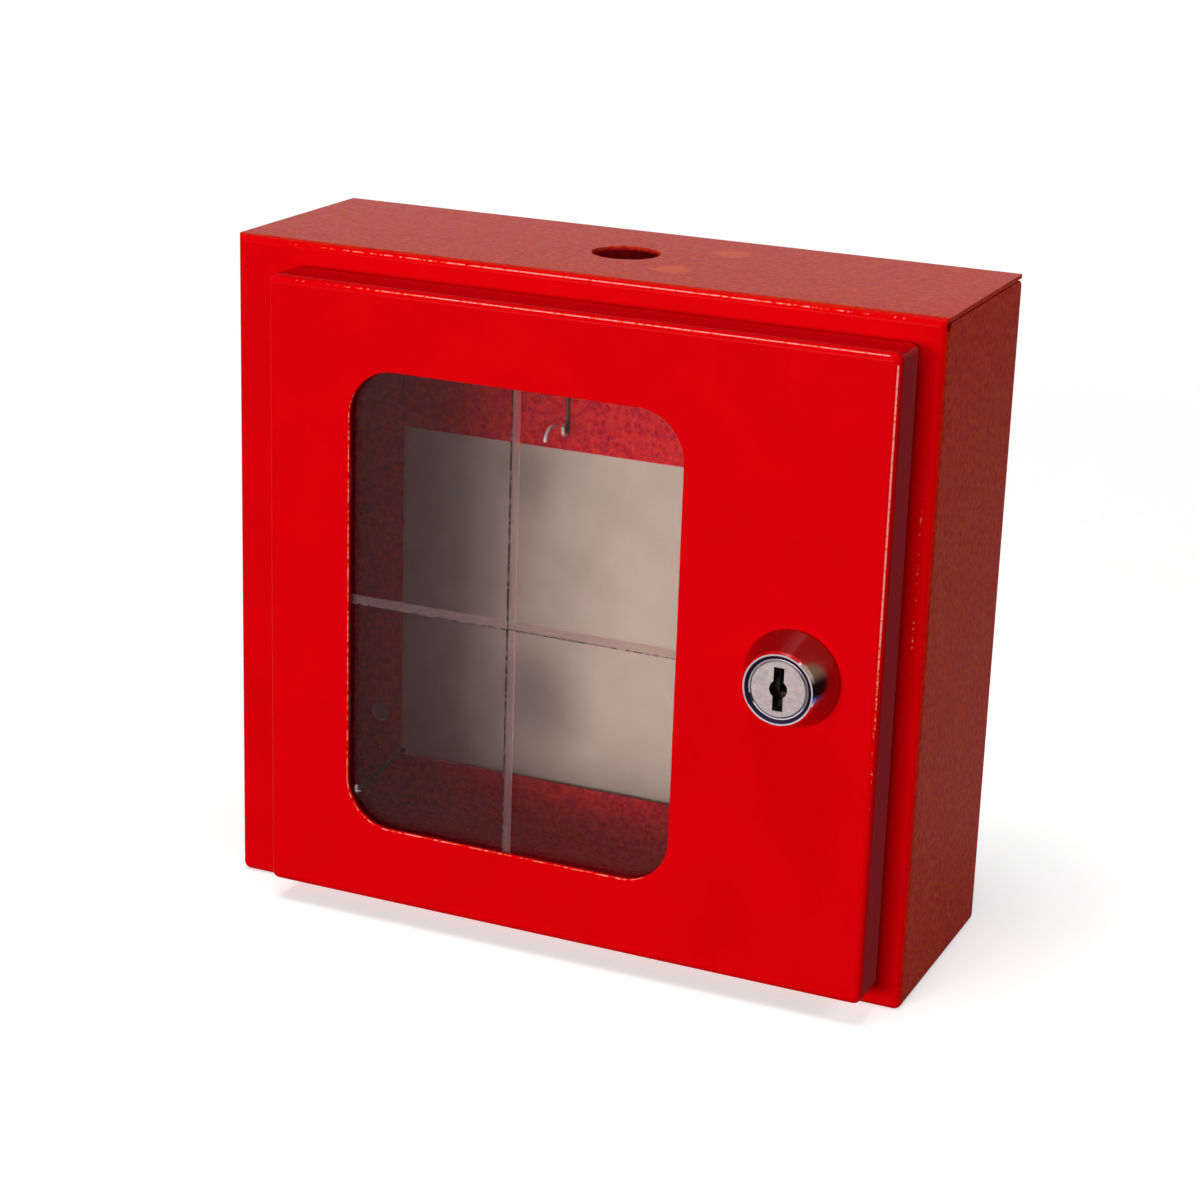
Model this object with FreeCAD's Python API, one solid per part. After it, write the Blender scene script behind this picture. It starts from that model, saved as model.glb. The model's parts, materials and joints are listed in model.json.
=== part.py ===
# Break glass valve box: a folded steel cabinet, open behind, for a pipe with its valve. A hinged pan door
# carries a scored pane that is broken to reach the valve, and a cam lock for opening it without breaking it.
# Millimetres. +X is right seen from the front, -Y is the front, +Z is up.
# The origin is the centre of the four wall holes, on the plane of the wall.
import FreeCAD, Part
import math
import os
from FreeCAD import Vector

# Cabinet
cabinet_width = 215.0
cabinet_height = 200.0
cabinet_depth = 72.0
cabinet_sheet = 1.2
cabinet_bend = 2.4
front_flange = 18.0
hinge_flange = 28.0
front_opening_corner = 3.0
rear_flange = 18.0
hanging_strip = 71.0
seam_gap = 0.5
front_relief = 1.5
rear_relief = 1.4
rear_notch = 3.6
slit_overcut = 0.1
pipe_hole = 10.0
wall_hole = 3.0
wall_hole_edge = 10.5
wall_hole_inset = 31.0

# Door
door_margin = 7.0
hinge_margin = 19.5
door_proud = 16.0
door_gap = 1.5
door_sheet = 1.2
door_bend = 2.4
hinge_stile = 26.5
lock_stile = 59.25
door_rail = 23.75
window_corner = 14.0
window_ease = 0.35

# Pane, gasket and clips
pane_overlap = 6.5
pane_thickness = 2.0
score_width = 2.9
score_depth = 0.5
gasket_thickness = 1.0
gasket_width = 5.5
clip_sheet = 1.0
clip_width = 12.0
clip_reach = 5.0
clip_foot = 10.0
clip_bend = 0.4
clip_slack = 0.6
clip_to_hinge = 4.0
stud_radius = 2.0
stud_length = 6.5
stud_bevel = 0.5
stud_slack = 0.15
nut_flats = 7.0
nut_thickness = 3.2
nut_bevel_share = 0.35

# Hinges
hinge_length = 30.0
hinge_inset = 33.0
hinge_sheet = 1.5
hinge_bend = 1.0
hinge_ahead = 11.0
pin_radius = 1.75
pin_clearance = 0.05
pin_head = 2.8
pin_head_thickness = 1.1
pin_head_bevel = 0.35
knuckle_length = 8.0
knuckle_gap = 0.3
return_clearance = 0.35
arm_clearance = 0.45
arm_foot = 14.0
leaf_reach = 8.8

# Cam lock
lock_inset = 25.0
bezel_radius = 14.0
bezel_length = 11.0
bezel_lip = 0.8
ring_radius = 10.4
ring_wall = 0.7
ring_bevel = 0.8
barrel_radius = 9.5
barrel_flats = 8.1
barrel_slack = 0.1
plug_head = 8.25
plug_head_length = 4.6
plug_radius = 6.4
plug_recess = 0.5
plug_clearance = 0.05
plug_bevel = 0.5
key_height = 12.4
key_width = 3.0
key_eye = 2.6
blade_height = 8.6
blade_width = 2.4
key_depth = 17.0
tail_square = 7.5
tail_slack = 0.05
washer_radius = 13.0
washer_thickness = 0.8
lock_nut_flats = 24.0
lock_nut_thickness = 4.0
stop_radius = 8.8
stop_thickness = 1.0
stop_angle = 60.0
stop_slack = 1.5
turn_angle = 90.0
end_play = 0.15
cam_clearance = 0.6
cam_thickness = 2.0
cam_hub = 7.5
cam_tip = 5.5
cam_length = 24.0
cam_washer_radius = 5.6
cam_washer_thickness = 0.8
screw_head = 4.4
screw_head_thickness = 2.2
screw_head_rim = 1.0
screw_head_flat = 2.2
screw_radius = 1.95
screw_length = 9.0

# Key hook
wire_radius = 0.6
hook_shift = -32.1
hook_eye_drop = 37.5
hook_drop = 26.5
hook_bend = 1.5
hook_rise = 0.8
hook_slope = 7.0
hook_arm = 6.8
hook_nose = 4.4
hook_nose_turn = 88.0
rivet_radius = 1.6
rivet_slack = 0.05
rivet_head = 3.1
rivet_dome = 1.3

# Places that follow from the sizes
half_width = cabinet_width / 2
half_height = cabinet_height / 2
front = -cabinet_depth
frame_back = front + cabinet_sheet
mid_depth = -cabinet_depth / 2
door_left = -half_width + hinge_margin
door_right = half_width - door_margin
door_half_height = half_height - door_margin
door_face = front - door_proud
door_inside = door_face + door_sheet
door_rear = front - door_gap
window_left = door_left + hinge_stile
window_right = door_right - lock_stile
window_width = window_right - window_left
window_height = 2 * (door_half_height - door_rail)
window_x = (window_left + window_right) / 2
pane_front = door_inside + gasket_thickness
pane_back = pane_front + pane_thickness
pane_width = window_width + 2 * pane_overlap
pane_height = window_height + 2 * pane_overlap
knuckle_radius = pin_radius + hinge_sheet
hinge_x = door_left + door_sheet + return_clearance + knuckle_radius
hinge_y = front - hinge_ahead
hinge_height = door_half_height - hinge_inset
clip_height = hinge_height - hinge_length / 2 - clip_to_hinge - clip_width / 2
lock_x = door_right - lock_inset
bezel_front = door_face - bezel_length
plug_front = bezel_front + plug_recess
cam_front = frame_back + cam_clearance
cam_back = cam_front + cam_thickness
barrel_end = cam_front - stop_thickness - end_play
wall_hole_x = half_width - wall_hole_edge
wall_hole_z = half_height - wall_hole_inset
hook_eye_height = half_height - hook_eye_drop
overrun = 1.0


def box(x0, x1, y0, y1, z0, z1):
    return Part.makeBox(x1 - x0, y1 - y0, z1 - z0, Vector(x0, y0, z0))


def cylinder_y(radius, y0, y1, x=0.0, z=0.0):
    return Part.makeCylinder(radius, y1 - y0, Vector(x, y0, z), Vector(0, 1, 0))


def cylinder_z(radius, z0, z1, x=0.0, y=0.0):
    return Part.makeCylinder(radius, z1 - z0, Vector(x, y, z0))


def prism(points, push):
    """Solid swept from a closed outline of 3-D points along the vector push."""
    wire = Part.makePolygon([Vector(*point) for point in points] + [Vector(*points[0])])
    return Part.Face(wire).extrude(push)


def prism_xz(points, y0, y1):
    return prism([(x, y0, z) for x, z in points], Vector(0, y1 - y0, 0))


def prism_xy(points, z0, z1):
    return prism([(x, y, z0) for x, y in points], Vector(0, 0, z1 - z0))


def direction(edge):
    """Name of the axis that a straight edge runs along."""
    step = edge.Vertexes[-1].Point - edge.Vertexes[0].Point
    return max("xyz", key=lambda axis: abs(getattr(step, axis)))


def round_edges(shape, radius, chosen):
    return shape.makeFillet(radius, [edge for edge in shape.Edges if chosen(edge)])


def rounded_slab(width, height, corner, y0, y1, x=0.0, z=0.0):
    """Upright slab facing the front, with its four corners rounded."""
    slab = box(x - width / 2, x + width / 2, y0, y1, z - height / 2, z + height / 2)
    return round_edges(slab, corner, lambda edge: direction(edge) == "y")


def bend_corners(shape, corners):
    """Round the upright edges of a folded profile; corners lists x, y and radius."""
    for x, y, radius in corners:
        def at_corner(edge):
            middle = edge.CenterOfMass
            return direction(edge) == "z" and math.hypot(middle.x - x, middle.y - y) < 1e-4
        shape = round_edges(shape, radius, at_corner)
    return shape


def hexagon(flats, y0, y1, x, z):
    """Nut blank with its outer corners bevelled."""
    corner = flats / math.sqrt(3)
    outline = []
    for index in range(6):
        angle = math.radians(60 * index)
        outline.append((x + corner * math.cos(angle), z + corner * math.sin(angle)))
    blank = prism_xz(outline, y0, y1)
    rise = nut_bevel_share * (corner - flats / 2)
    outer = [(0, y0), (flats / 2, y0), (corner, y0 + 2 * rise), (corner, y1 - 2 * rise), (flats / 2, y1), (0, y1)]
    return blank.common(turned(outer, x, z))


def turned(outline, x, z):
    """Solid of revolution about an axis along Y; the outline lists radius and y."""
    wire = Part.makePolygon([Vector(r, y, 0) for r, y in outline] + [Vector(outline[0][0], outline[0][1], 0)])
    solid = Part.Face(wire).revolve(Vector(0, 0, 0), Vector(0, 1, 0), 360)
    solid.translate(Vector(x, 0, z))
    return solid


def sector(radius, y0, y1, start, sweep):
    """Pie slice about the lock axis, its angles counted from +X towards +Z."""
    points = [(lock_x, 0.0)]
    steps = 8
    reach = radius / math.cos(math.radians(sweep / steps / 2))
    for index in range(steps + 1):
        angle = math.radians(start + sweep * index / steps)
        points.append((lock_x + reach * math.cos(angle), reach * math.sin(angle)))
    return prism_xz(points, y0, y1).common(cylinder_y(radius, y0, y1, lock_x))


def is_cabinet_bend(edge):
    """Every edge of the block is a bend, apart from the two upper ones from front to back."""
    return not (direction(edge) == "y" and edge.CenterOfMass.z > 0)


def cabinet_block():
    """The whole folded skin of the cabinet before it is divided into its two sheets."""
    outer = box(-half_width, half_width, front, 0, -half_height, half_height)
    outer = round_edges(outer, cabinet_bend, is_cabinet_bend)
    inner = box(-half_width + cabinet_sheet, half_width - cabinet_sheet, frame_back, -cabinet_sheet,
                -half_height + cabinet_sheet, half_height - cabinet_sheet)
    inner = round_edges(inner, cabinet_bend - cabinet_sheet, is_cabinet_bend)
    skin = outer.cut(inner)
    opening = rounded_slab(cabinet_width - hinge_flange - front_flange, cabinet_height - 2 * front_flange,
                           front_opening_corner, front - overrun, front + cabinet_bend,
                           (hinge_flange - front_flange) / 2)
    rear_edge = half_width - rear_flange
    window = box(-rear_edge, rear_edge, -cabinet_bend, overrun, -half_height + rear_flange, half_height - hanging_strip)
    holes = [cylinder_z(pipe_hole, -half_height - overrun, half_height + overrun, 0, mid_depth)]
    for side in (-1, 1):
        for end in (-1, 1):
            place = {"x": side * wall_hole_x, "z": end * wall_hole_z}
            holes.append(cylinder_y(wall_hole, -cabinet_bend, overrun, **place))
    return skin.cut([opening, window] + holes)


def top_zone(gap):
    """Room of the upper sheet: a mitred front flange, the top itself and the strip hung behind."""
    front_zone_end = front + cabinet_bend
    mitre = prism_xz([(-half_width, half_height), (half_width, half_height), (0, half_height - half_width)],
                     front - overrun, front_zone_end)
    top = box(-half_width - overrun, half_width + overrun, front_zone_end, overrun,
              half_height - cabinet_sheet - gap, half_height + overrun)
    strip_edge = half_width - rear_flange - seam_gap + gap
    strip = box(-strip_edge, strip_edge, -cabinet_bend, overrun, half_height - hanging_strip - gap, half_height)
    return mitre.fuse([top, strip])


def make_cabinet_wrap():
    """Left side, floor and right side in one sheet, with front and rear flanges folded inwards."""
    sheet = cabinet_block().cut(top_zone(seam_gap))
    cuts = []
    for side in (-1, 1):
        edge = side * half_width
        seat = half_height - cabinet_sheet - seam_gap
        relief_y = front + cabinet_bend
        cuts.append(Part.makeCylinder(front_relief, 2 * cabinet_bend, Vector(edge - side * cabinet_bend, relief_y,
                                      seat - front_relief / 2), Vector(side, 0, 0)))
        notch = [(edge - side * cabinet_bend, overrun, seat + overrun),
                 (edge - side * cabinet_bend, -rear_notch - overrun, seat + overrun),
                 (edge - side * cabinet_bend, overrun, seat - rear_notch - overrun)]
        cuts.append(prism(notch, Vector(side * 2 * cabinet_bend, 0, 0)))
        corner_z = -half_height
        inward = rear_flange + overrun
        half_gap = seam_gap * math.sqrt(0.5)
        mitre = [(edge - side * half_gap, corner_z - overrun), (edge + side * half_gap, corner_z - overrun),
                 (edge + side * overrun, corner_z - overrun + half_gap),
                 (edge - side * (inward - half_gap), corner_z + inward),
                 (edge - side * (inward + half_gap), corner_z + inward)]
        cuts.append(prism_xz(mitre, -cabinet_sheet - slit_overcut, overrun))
        cuts.append(cylinder_y(rear_relief, -cabinet_bend - overrun, overrun,
                               edge - side * cabinet_bend, corner_z + cabinet_bend))
    return sheet.cut(cuts)


def make_top_panel():
    """Top sheet with the front flange and the hanging strip behind; it lies on the sides."""
    sheet = cabinet_block().common(top_zone(0.0))
    rivet_hole = cylinder_y(rivet_radius + rivet_slack, -cabinet_bend, overrun, hook_shift, hook_eye_height)
    return sheet.cut(rivet_hole)


def make_door_panel():
    """Pan door: face and four returns, its corners welded and ground round."""
    def is_bend(edge):
        return direction(edge) == "y" or edge.CenterOfMass.y < door_inside + 1e-3
    outer = box(door_left, door_right, door_face, door_rear, -door_half_height, door_half_height)
    outer = round_edges(outer, door_bend, is_bend)
    half_z = door_half_height - door_sheet
    inner = box(door_left + door_sheet, door_right - door_sheet, door_inside, door_rear + door_proud, -half_z, half_z)
    inner = round_edges(inner, door_bend - door_sheet, is_bend)
    window = rounded_slab(window_width, window_height, window_corner, door_face - overrun, door_inside + overrun,
                          window_x)
    lock_hole = cylinder_y(barrel_radius + barrel_slack, door_face - overrun, door_inside + overrun, lock_x)
    flats = barrel_flats + barrel_slack
    lock_hole = lock_hole.common(box(lock_x - bezel_radius, lock_x + bezel_radius, door_face - overrun,
                                     door_inside + overrun, -flats, flats))
    return round_edges(outer.cut([inner, window, lock_hole]), window_ease, is_window_rim)


def is_window_rim(edge):
    """Front edge of the window, which the coating rounds."""
    reach = edge.BoundBox
    inside = window_left - 1e-3 < reach.XMin and reach.XMax < window_right + 1e-3
    return inside and reach.YMax < door_face + 1e-3 and abs(edge.CenterOfMass.z) < window_height / 2 + 1e-3


def make_pane():
    """Clear pane with a cross scored into its front, so that it breaks into quarters."""
    corner = pane_overlap / 2
    pane = rounded_slab(pane_width, pane_height, corner, pane_front, pane_back, window_x)
    flank = score_depth
    half = score_width / 2
    upright = prism_xy([(window_x - half, pane_front - overrun), (window_x - half, pane_front),
                        (window_x - half + flank, pane_front + score_depth),
                        (window_x + half - flank, pane_front + score_depth),
                        (window_x + half, pane_front), (window_x + half, pane_front - overrun)],
                       -pane_height, pane_height)
    profile = [(pane_front - overrun, -half), (pane_front, -half), (pane_front + score_depth, -half + flank),
               (pane_front + score_depth, half - flank), (pane_front, half), (pane_front - overrun, half)]
    level = prism([(window_x - pane_width, y, z) for y, z in profile], Vector(2 * pane_width, 0, 0))
    return pane.cut([upright, level])


def make_pane_gasket():
    """Rubber frame between the door's face and the pane."""
    outer = rounded_slab(pane_width, pane_height, pane_overlap / 2, door_inside, pane_front, window_x)
    corner = window_corner + pane_overlap - gasket_width
    inner = rounded_slab(pane_width - 2 * gasket_width, pane_height - 2 * gasket_width, corner,
                         door_inside - overrun, pane_front + overrun, window_x)
    return outer.cut(inner)


def clip_places():
    """Side and height of each clip, with its stud's x."""
    places = {}
    for level, end in (("upper", 1), ("lower", -1)):
        for hand, side in (("left", -1), ("right", 1)):
            edge = window_x + side * pane_width / 2
            stud = edge + side * (clip_slack + clip_sheet + (clip_foot - clip_sheet) / 2)
            places[level + "_" + hand] = (side, edge, stud, end * clip_height)
    return places


def make_pane_clip(side, edge, stud, height):
    """Folded clip: its foot lies on the door, its tongue holds the pane."""
    rise = pane_back - door_inside
    near = edge + side * clip_slack
    far = near + side * clip_sheet
    floor = door_inside
    top = floor + rise
    outline = [(near + side * clip_foot, floor), (near, floor), (near, top), (edge - side * clip_reach, top),
               (edge - side * clip_reach, top + clip_sheet), (far, top + clip_sheet), (far, floor + clip_sheet),
               (near + side * clip_foot, floor + clip_sheet)]
    clip = prism_xy(outline, height - clip_width / 2, height + clip_width / 2)
    clip = bend_corners(clip, [(near, floor, clip_bend + clip_sheet), (far, floor + clip_sheet, clip_bend),
                               (near, top, clip_bend), (far, top + clip_sheet, clip_bend + clip_sheet)])
    return clip.cut(cylinder_y(stud_radius + stud_slack, floor - overrun, floor + 2 * clip_sheet, stud, height))


def make_pane_studs():
    studs = []
    for side, edge, x, height in clip_places().values():
        tip = door_inside + stud_length
        outline = [(0, door_inside), (stud_radius, door_inside), (stud_radius, tip - stud_bevel),
                   (stud_radius - stud_bevel, tip), (0, tip)]
        studs.append(turned(outline, x, height))
    return Part.makeCompound(studs)


def make_pane_nuts():
    nuts = []
    seat = door_inside + clip_sheet
    for side, edge, x, height in clip_places().values():
        nut = hexagon(nut_flats, seat, seat + nut_thickness, x, height)
        nuts.append(nut.cut(cylinder_y(stud_radius + pin_clearance, seat - overrun, seat + 2 * nut_thickness, x, height)))
    return Part.makeCompound(nuts)


def hinge_zones(height):
    """Lower knuckle, middle knuckle and upper knuckle of a hinge, as pairs of z."""
    low = height - hinge_length / 2
    high = height + hinge_length / 2
    return (low, low + knuckle_length), (low + knuckle_length, high - knuckle_length), (high - knuckle_length, high)


def make_hinge_arm(height):
    """Cranked cabinet leaf: knuckle in the door, arm out through the opening, foot behind the frame."""
    lower, middle, upper = hinge_zones(height)
    swing = math.hypot(hinge_x - door_left, door_rear - hinge_y)
    near = hinge_x + swing + arm_clearance
    far = near + hinge_sheet
    low_y = hinge_y - knuckle_radius
    foot_y = frame_back
    foot_end = -half_width + hinge_flange - arm_foot
    outline = [(hinge_x, low_y), (far, low_y), (far, foot_y + hinge_sheet), (foot_end, foot_y + hinge_sheet),
               (foot_end, foot_y), (near, foot_y), (near, low_y + hinge_sheet), (hinge_x, low_y + hinge_sheet)]
    arm = prism_xy(outline, lower[0], upper[1])
    outer_bend = hinge_bend + hinge_sheet
    arm = bend_corners(arm, [(far, low_y, outer_bend), (near, low_y + hinge_sheet, hinge_bend),
                             (far, foot_y + hinge_sheet, outer_bend), (near, foot_y, hinge_bend)])
    clearings = []
    reach = hinge_x + knuckle_radius + return_clearance
    for zone in (lower, upper):
        low = zone[0] - knuckle_gap
        clearings.append(box(hinge_x - overrun, reach, low_y - overrun, hinge_y, low, zone[1] + knuckle_gap))
    knuckle = cylinder_z(knuckle_radius, middle[0] + knuckle_gap, middle[1] - knuckle_gap, hinge_x, hinge_y)
    bore = cylinder_z(pin_radius + pin_clearance, lower[0] - overrun, upper[1] + overrun, hinge_x, hinge_y)
    return arm.cut(clearings).fuse(knuckle).cut(bore).removeSplitter()


def make_hinge_leaf(height):
    """Door leaf: flat on the inside of the door's left return, stepped off it to its two knuckles."""
    lower, middle, upper = hinge_zones(height)
    wall = door_left + door_sheet
    tangent = hinge_x - knuckle_radius
    step = 2 * return_clearance
    outline = [(tangent, hinge_y), (tangent, hinge_y + step), (wall, hinge_y + 2 * step),
               (wall, hinge_y + leaf_reach), (wall + hinge_sheet, hinge_y + leaf_reach),
               (wall + hinge_sheet, hinge_y + 2 * step), (tangent + hinge_sheet, hinge_y + step),
               (tangent + hinge_sheet, hinge_y)]
    leaf = prism_xy(outline, lower[0], upper[1])
    knuckles = [cylinder_z(knuckle_radius, low, high, hinge_x, hinge_y) for low, high in (lower, upper)]
    clearing = cylinder_z(knuckle_radius + return_clearance, middle[0], middle[1], hinge_x, hinge_y)
    bore = cylinder_z(pin_radius + pin_clearance, lower[0] - overrun, upper[1] + overrun, hinge_x, hinge_y)
    return leaf.fuse(knuckles).cut([clearing, bore]).removeSplitter()


def make_hinge_pin(height):
    """Headed pin, its lower end set over the last knuckle."""
    low = height - hinge_length / 2
    high = height + hinge_length / 2
    pin = cylinder_z(pin_radius, low, high, hinge_x, hinge_y)
    for start, end, rim in ((high, high + pin_head_thickness, pin_head), (low - pin_head_thickness, low, pin_head)):
        head = cylinder_z(rim, start, end, hinge_x, hinge_y)
        outside = end if start == high else start
        head = head.makeChamfer(pin_head_bevel, [edge for edge in head.Edges
                                        if abs(edge.CenterOfMass.z - outside) < 1e-6 and len(edge.Vertexes) == 1])
        pin = pin.fuse(head)
    return pin.removeSplitter()


def make_lock_housing():
    """Bezel cone in front of the door and flatted barrel behind it, bored for the plug."""
    ring_edge = ring_radius - ring_wall
    bore = plug_head + plug_clearance
    shoulder = plug_front + plug_head_length + end_play
    outline = [(bezel_radius, door_face), (bezel_radius, door_face - bezel_lip),
               (ring_radius, bezel_front + ring_bevel), (ring_radius - ring_wall / 2, bezel_front),
               (ring_edge, bezel_front), (bore, bezel_front + ring_bevel), (bore, shoulder),
               (plug_radius + plug_clearance, shoulder), (plug_radius + plug_clearance, barrel_end),
               (barrel_radius, barrel_end), (barrel_radius, door_face)]
    housing = turned(outline, lock_x, 0)
    for end in (-1, 1):
        low, high = sorted((end * barrel_flats, end * (barrel_radius + overrun)))
        housing = housing.cut(box(lock_x - bezel_radius, lock_x + bezel_radius, door_face, barrel_end + overrun, low, high))
    lug = sector(stop_radius, barrel_end, barrel_end + stop_thickness, 90 - stop_angle / 2, stop_angle)
    lug = lug.cut(cylinder_y(plug_radius + plug_clearance, barrel_end - overrun, cam_front, lock_x))
    lug = lug.common(box(lock_x - stop_radius, lock_x + stop_radius, barrel_end, cam_front, -barrel_flats, barrel_flats))
    return housing.fuse(lug).removeSplitter()


def make_lock_plug():
    """Turning plug: stepped head, keyway and square tail."""
    bevel = plug_bevel
    outline = [(0, plug_front), (plug_head - bevel, plug_front), (plug_head, plug_front + bevel),
               (plug_head, plug_front + plug_head_length), (plug_radius, plug_front + plug_head_length),
               (plug_radius, barrel_end), (0, barrel_end)]
    plug = turned(outline, lock_x, 0)
    half = tail_square / 2
    tail = box(lock_x - half, lock_x + half, barrel_end, cam_back - end_play, -half, half)
    tail = tail.common(cylinder_y(plug_radius, barrel_end, cam_back, lock_x))
    head_end = plug_front + plug_head_length
    eye = cylinder_y(key_eye, plug_front - overrun, head_end, lock_x)
    slot = box(lock_x - key_width / 2, lock_x + key_width / 2, plug_front - overrun, head_end,
               -key_height / 2, key_height / 2)
    blade = box(lock_x - blade_width / 2, lock_x + blade_width / 2, plug_front, plug_front + key_depth,
                -blade_height / 2, blade_height / 2)
    thread = cylinder_y(screw_radius + pin_clearance, cam_back - screw_length, cam_back, lock_x)
    return plug.fuse(tail).cut([eye, slot, blade, thread])


def make_stop_washer():
    """Washer keyed to the plug; its open sector leaves the housing's lug a quarter turn."""
    start = barrel_end + end_play
    washer = cylinder_y(stop_radius, start, cam_front, lock_x)
    begin = 90 - stop_angle / 2 - turn_angle - stop_slack
    sweep = stop_angle + turn_angle + 2 * stop_slack
    opening = sector(stop_radius + overrun, start - overrun, cam_front + overrun, begin, sweep)
    opening = opening.cut(cylinder_y(plug_radius - plug_clearance, start - overrun, cam_front + overrun, lock_x))
    return washer.cut([opening, tail_hole(start, cam_front)])


def tail_hole(y0, y1):
    """Square hole for the plug's tail."""
    half = tail_square / 2 + tail_slack
    return box(lock_x - half, lock_x + half, y0 - overrun, y1 + overrun, -half, half)


def make_lock_cam():
    """Cam lever, pointing down while the door is unlocked."""
    tip_z = cam_tip - cam_length
    slope = (cam_hub - cam_tip) / -tip_z
    across = math.sqrt(1 - slope ** 2)
    arm = [(lock_x - cam_hub * across, -cam_hub * slope), (lock_x - cam_tip * across, tip_z - cam_tip * slope),
           (lock_x + cam_tip * across, tip_z - cam_tip * slope), (lock_x + cam_hub * across, -cam_hub * slope)]
    hub = cylinder_y(cam_hub, cam_front, cam_back, lock_x)
    tip = cylinder_y(cam_tip, cam_front, cam_back, lock_x, tip_z)
    cam = hub.fuse([prism_xz(arm, cam_front, cam_back), tip]).removeSplitter()
    return cam.cut(tail_hole(cam_front, cam_back))


def make_cam_washer():
    washer = cylinder_y(cam_washer_radius, cam_back, cam_back + cam_washer_thickness, lock_x)
    return washer.cut(cylinder_y(screw_radius + stud_slack, cam_back - overrun, cam_back + 2 * cam_washer_thickness,
                                 lock_x))


def make_cam_screw():
    """Pan head screw into the plug's tail."""
    seat = cam_back + cam_washer_thickness
    crown = seat + screw_head_thickness
    tip = cam_back - screw_length + overrun
    outline = [(0, tip), (screw_radius, tip), (screw_radius, seat), (screw_head, seat),
               (screw_head, seat + screw_head_rim), (screw_head_flat, crown), (0, crown)]
    return turned(outline, lock_x, 0)


def make_lock_washer():
    washer = cylinder_y(washer_radius, door_inside, door_inside + washer_thickness, lock_x)
    return washer.cut(cylinder_y(barrel_radius + barrel_slack, door_inside - overrun, door_inside + overrun, lock_x))


def make_lock_nut():
    seat = door_inside + washer_thickness
    nut = hexagon(lock_nut_flats, seat, seat + lock_nut_thickness, lock_x, 0)
    return nut.cut(cylinder_y(barrel_radius + barrel_slack / 2, seat - overrun, seat + 2 * lock_nut_thickness, lock_x))


def bent_wire(x, y, z, moves):
    """Round wire that starts downwards in the plane of one x; each move lists a straight, a bend's radius and its turn."""
    heading = -90.0
    point = Vector(x, y, z)
    edges = []
    for straight, radius, turn in moves:
        ahead = Vector(0, -math.cos(math.radians(heading)), math.sin(math.radians(heading)))
        corner = point + ahead * straight
        edges.append(Part.LineSegment(point, corner).toShape())
        outward = Vector(0, -ahead.z, ahead.y) * math.copysign(1, turn)
        centre = corner - outward * radius
        angle = math.radians(abs(turn))
        middle = centre + outward * (radius * math.cos(angle / 2)) + ahead * (radius * math.sin(angle / 2))
        point = centre + outward * (radius * math.cos(angle)) + ahead * (radius * math.sin(angle))
        edges.append(Part.Arc(corner, middle, point).toShape())
        heading += turn
    ring = Part.Wire([Part.makeCircle(wire_radius, Vector(x, y, z), Vector(0, 0, 1))])
    return Part.Wire(edges).makePipeShell([ring], True, False)


def make_key_hook():
    """Bent wire hook: a loop held by the rivet, a stem down the strip, a tight return and an arm with a drooping nose."""
    stem_y = -cabinet_sheet - wire_radius
    loop_radius = rivet_radius + rivet_slack + wire_radius
    loop = Part.makeTorus(loop_radius, wire_radius, Vector(hook_shift, stem_y, hook_eye_height), Vector(0, 1, 0))
    moves = [(hook_drop - loop_radius, hook_bend, 180.0), (hook_rise, hook_bend, hook_slope - 90.0),
             (hook_arm, hook_nose, -hook_nose_turn)]
    return loop.fuse(bent_wire(hook_shift, stem_y, hook_eye_height - loop_radius, moves))


def make_hook_rivet():
    """Domed rivet through the hook's loop and the strip, set flush behind."""
    seat = -cabinet_sheet - 2 * wire_radius
    sphere = (rivet_head ** 2 + rivet_dome ** 2) / (2 * rivet_dome)
    dome = Part.makeSphere(sphere, Vector(hook_shift, seat - rivet_dome + sphere, hook_eye_height))
    dome = dome.common(cylinder_y(rivet_head, seat - rivet_dome, seat, hook_shift, hook_eye_height))
    shank = cylinder_y(rivet_radius, seat, 0, hook_shift, hook_eye_height)
    return dome.fuse(shank).removeSplitter()


def make_parts():
    parts = {
        "cabinet_wrap": make_cabinet_wrap(),
        "top_panel": make_top_panel(),
        "key_hook": make_key_hook(),
        "hook_rivet": make_hook_rivet(),
        "door_panel": make_door_panel(),
        "pane": make_pane(),
        "pane_gasket": make_pane_gasket(),
        "pane_studs": make_pane_studs(),
        "pane_nuts": make_pane_nuts(),
        "lock_housing": make_lock_housing(),
        "lock_washer": make_lock_washer(),
        "lock_nut": make_lock_nut(),
        "lock_plug": make_lock_plug(),
        "stop_washer": make_stop_washer(),
        "lock_cam": make_lock_cam(),
        "cam_washer": make_cam_washer(),
        "cam_screw": make_cam_screw(),
    }
    for name, place in clip_places().items():
        parts["pane_clip_" + name] = make_pane_clip(*place)
    for level, end in (("upper", 1), ("lower", -1)):
        parts["hinge_arm_" + level] = make_hinge_arm(end * hinge_height)
        parts["hinge_leaf_" + level] = make_hinge_leaf(end * hinge_height)
        parts["hinge_pin_" + level] = make_hinge_pin(end * hinge_height)
    return parts


os.makedirs("parts", exist_ok=True)
for name, shape in make_parts().items():
    if not shape.isValid():
        print("not valid:", name)
    print("%-24s %2d solid  %10.1f mm3" % (name, len(shape.Solids), shape.Volume))
    shape.exportStep("parts/" + name + ".step")
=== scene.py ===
"""Looks for the break glass valve box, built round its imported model. Metres, in the model's own frame."""
import json
import logging
import math
from dataclasses import dataclass
from enum import Enum

import bmesh
import bpy
from mathutils import Matrix, Vector


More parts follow.
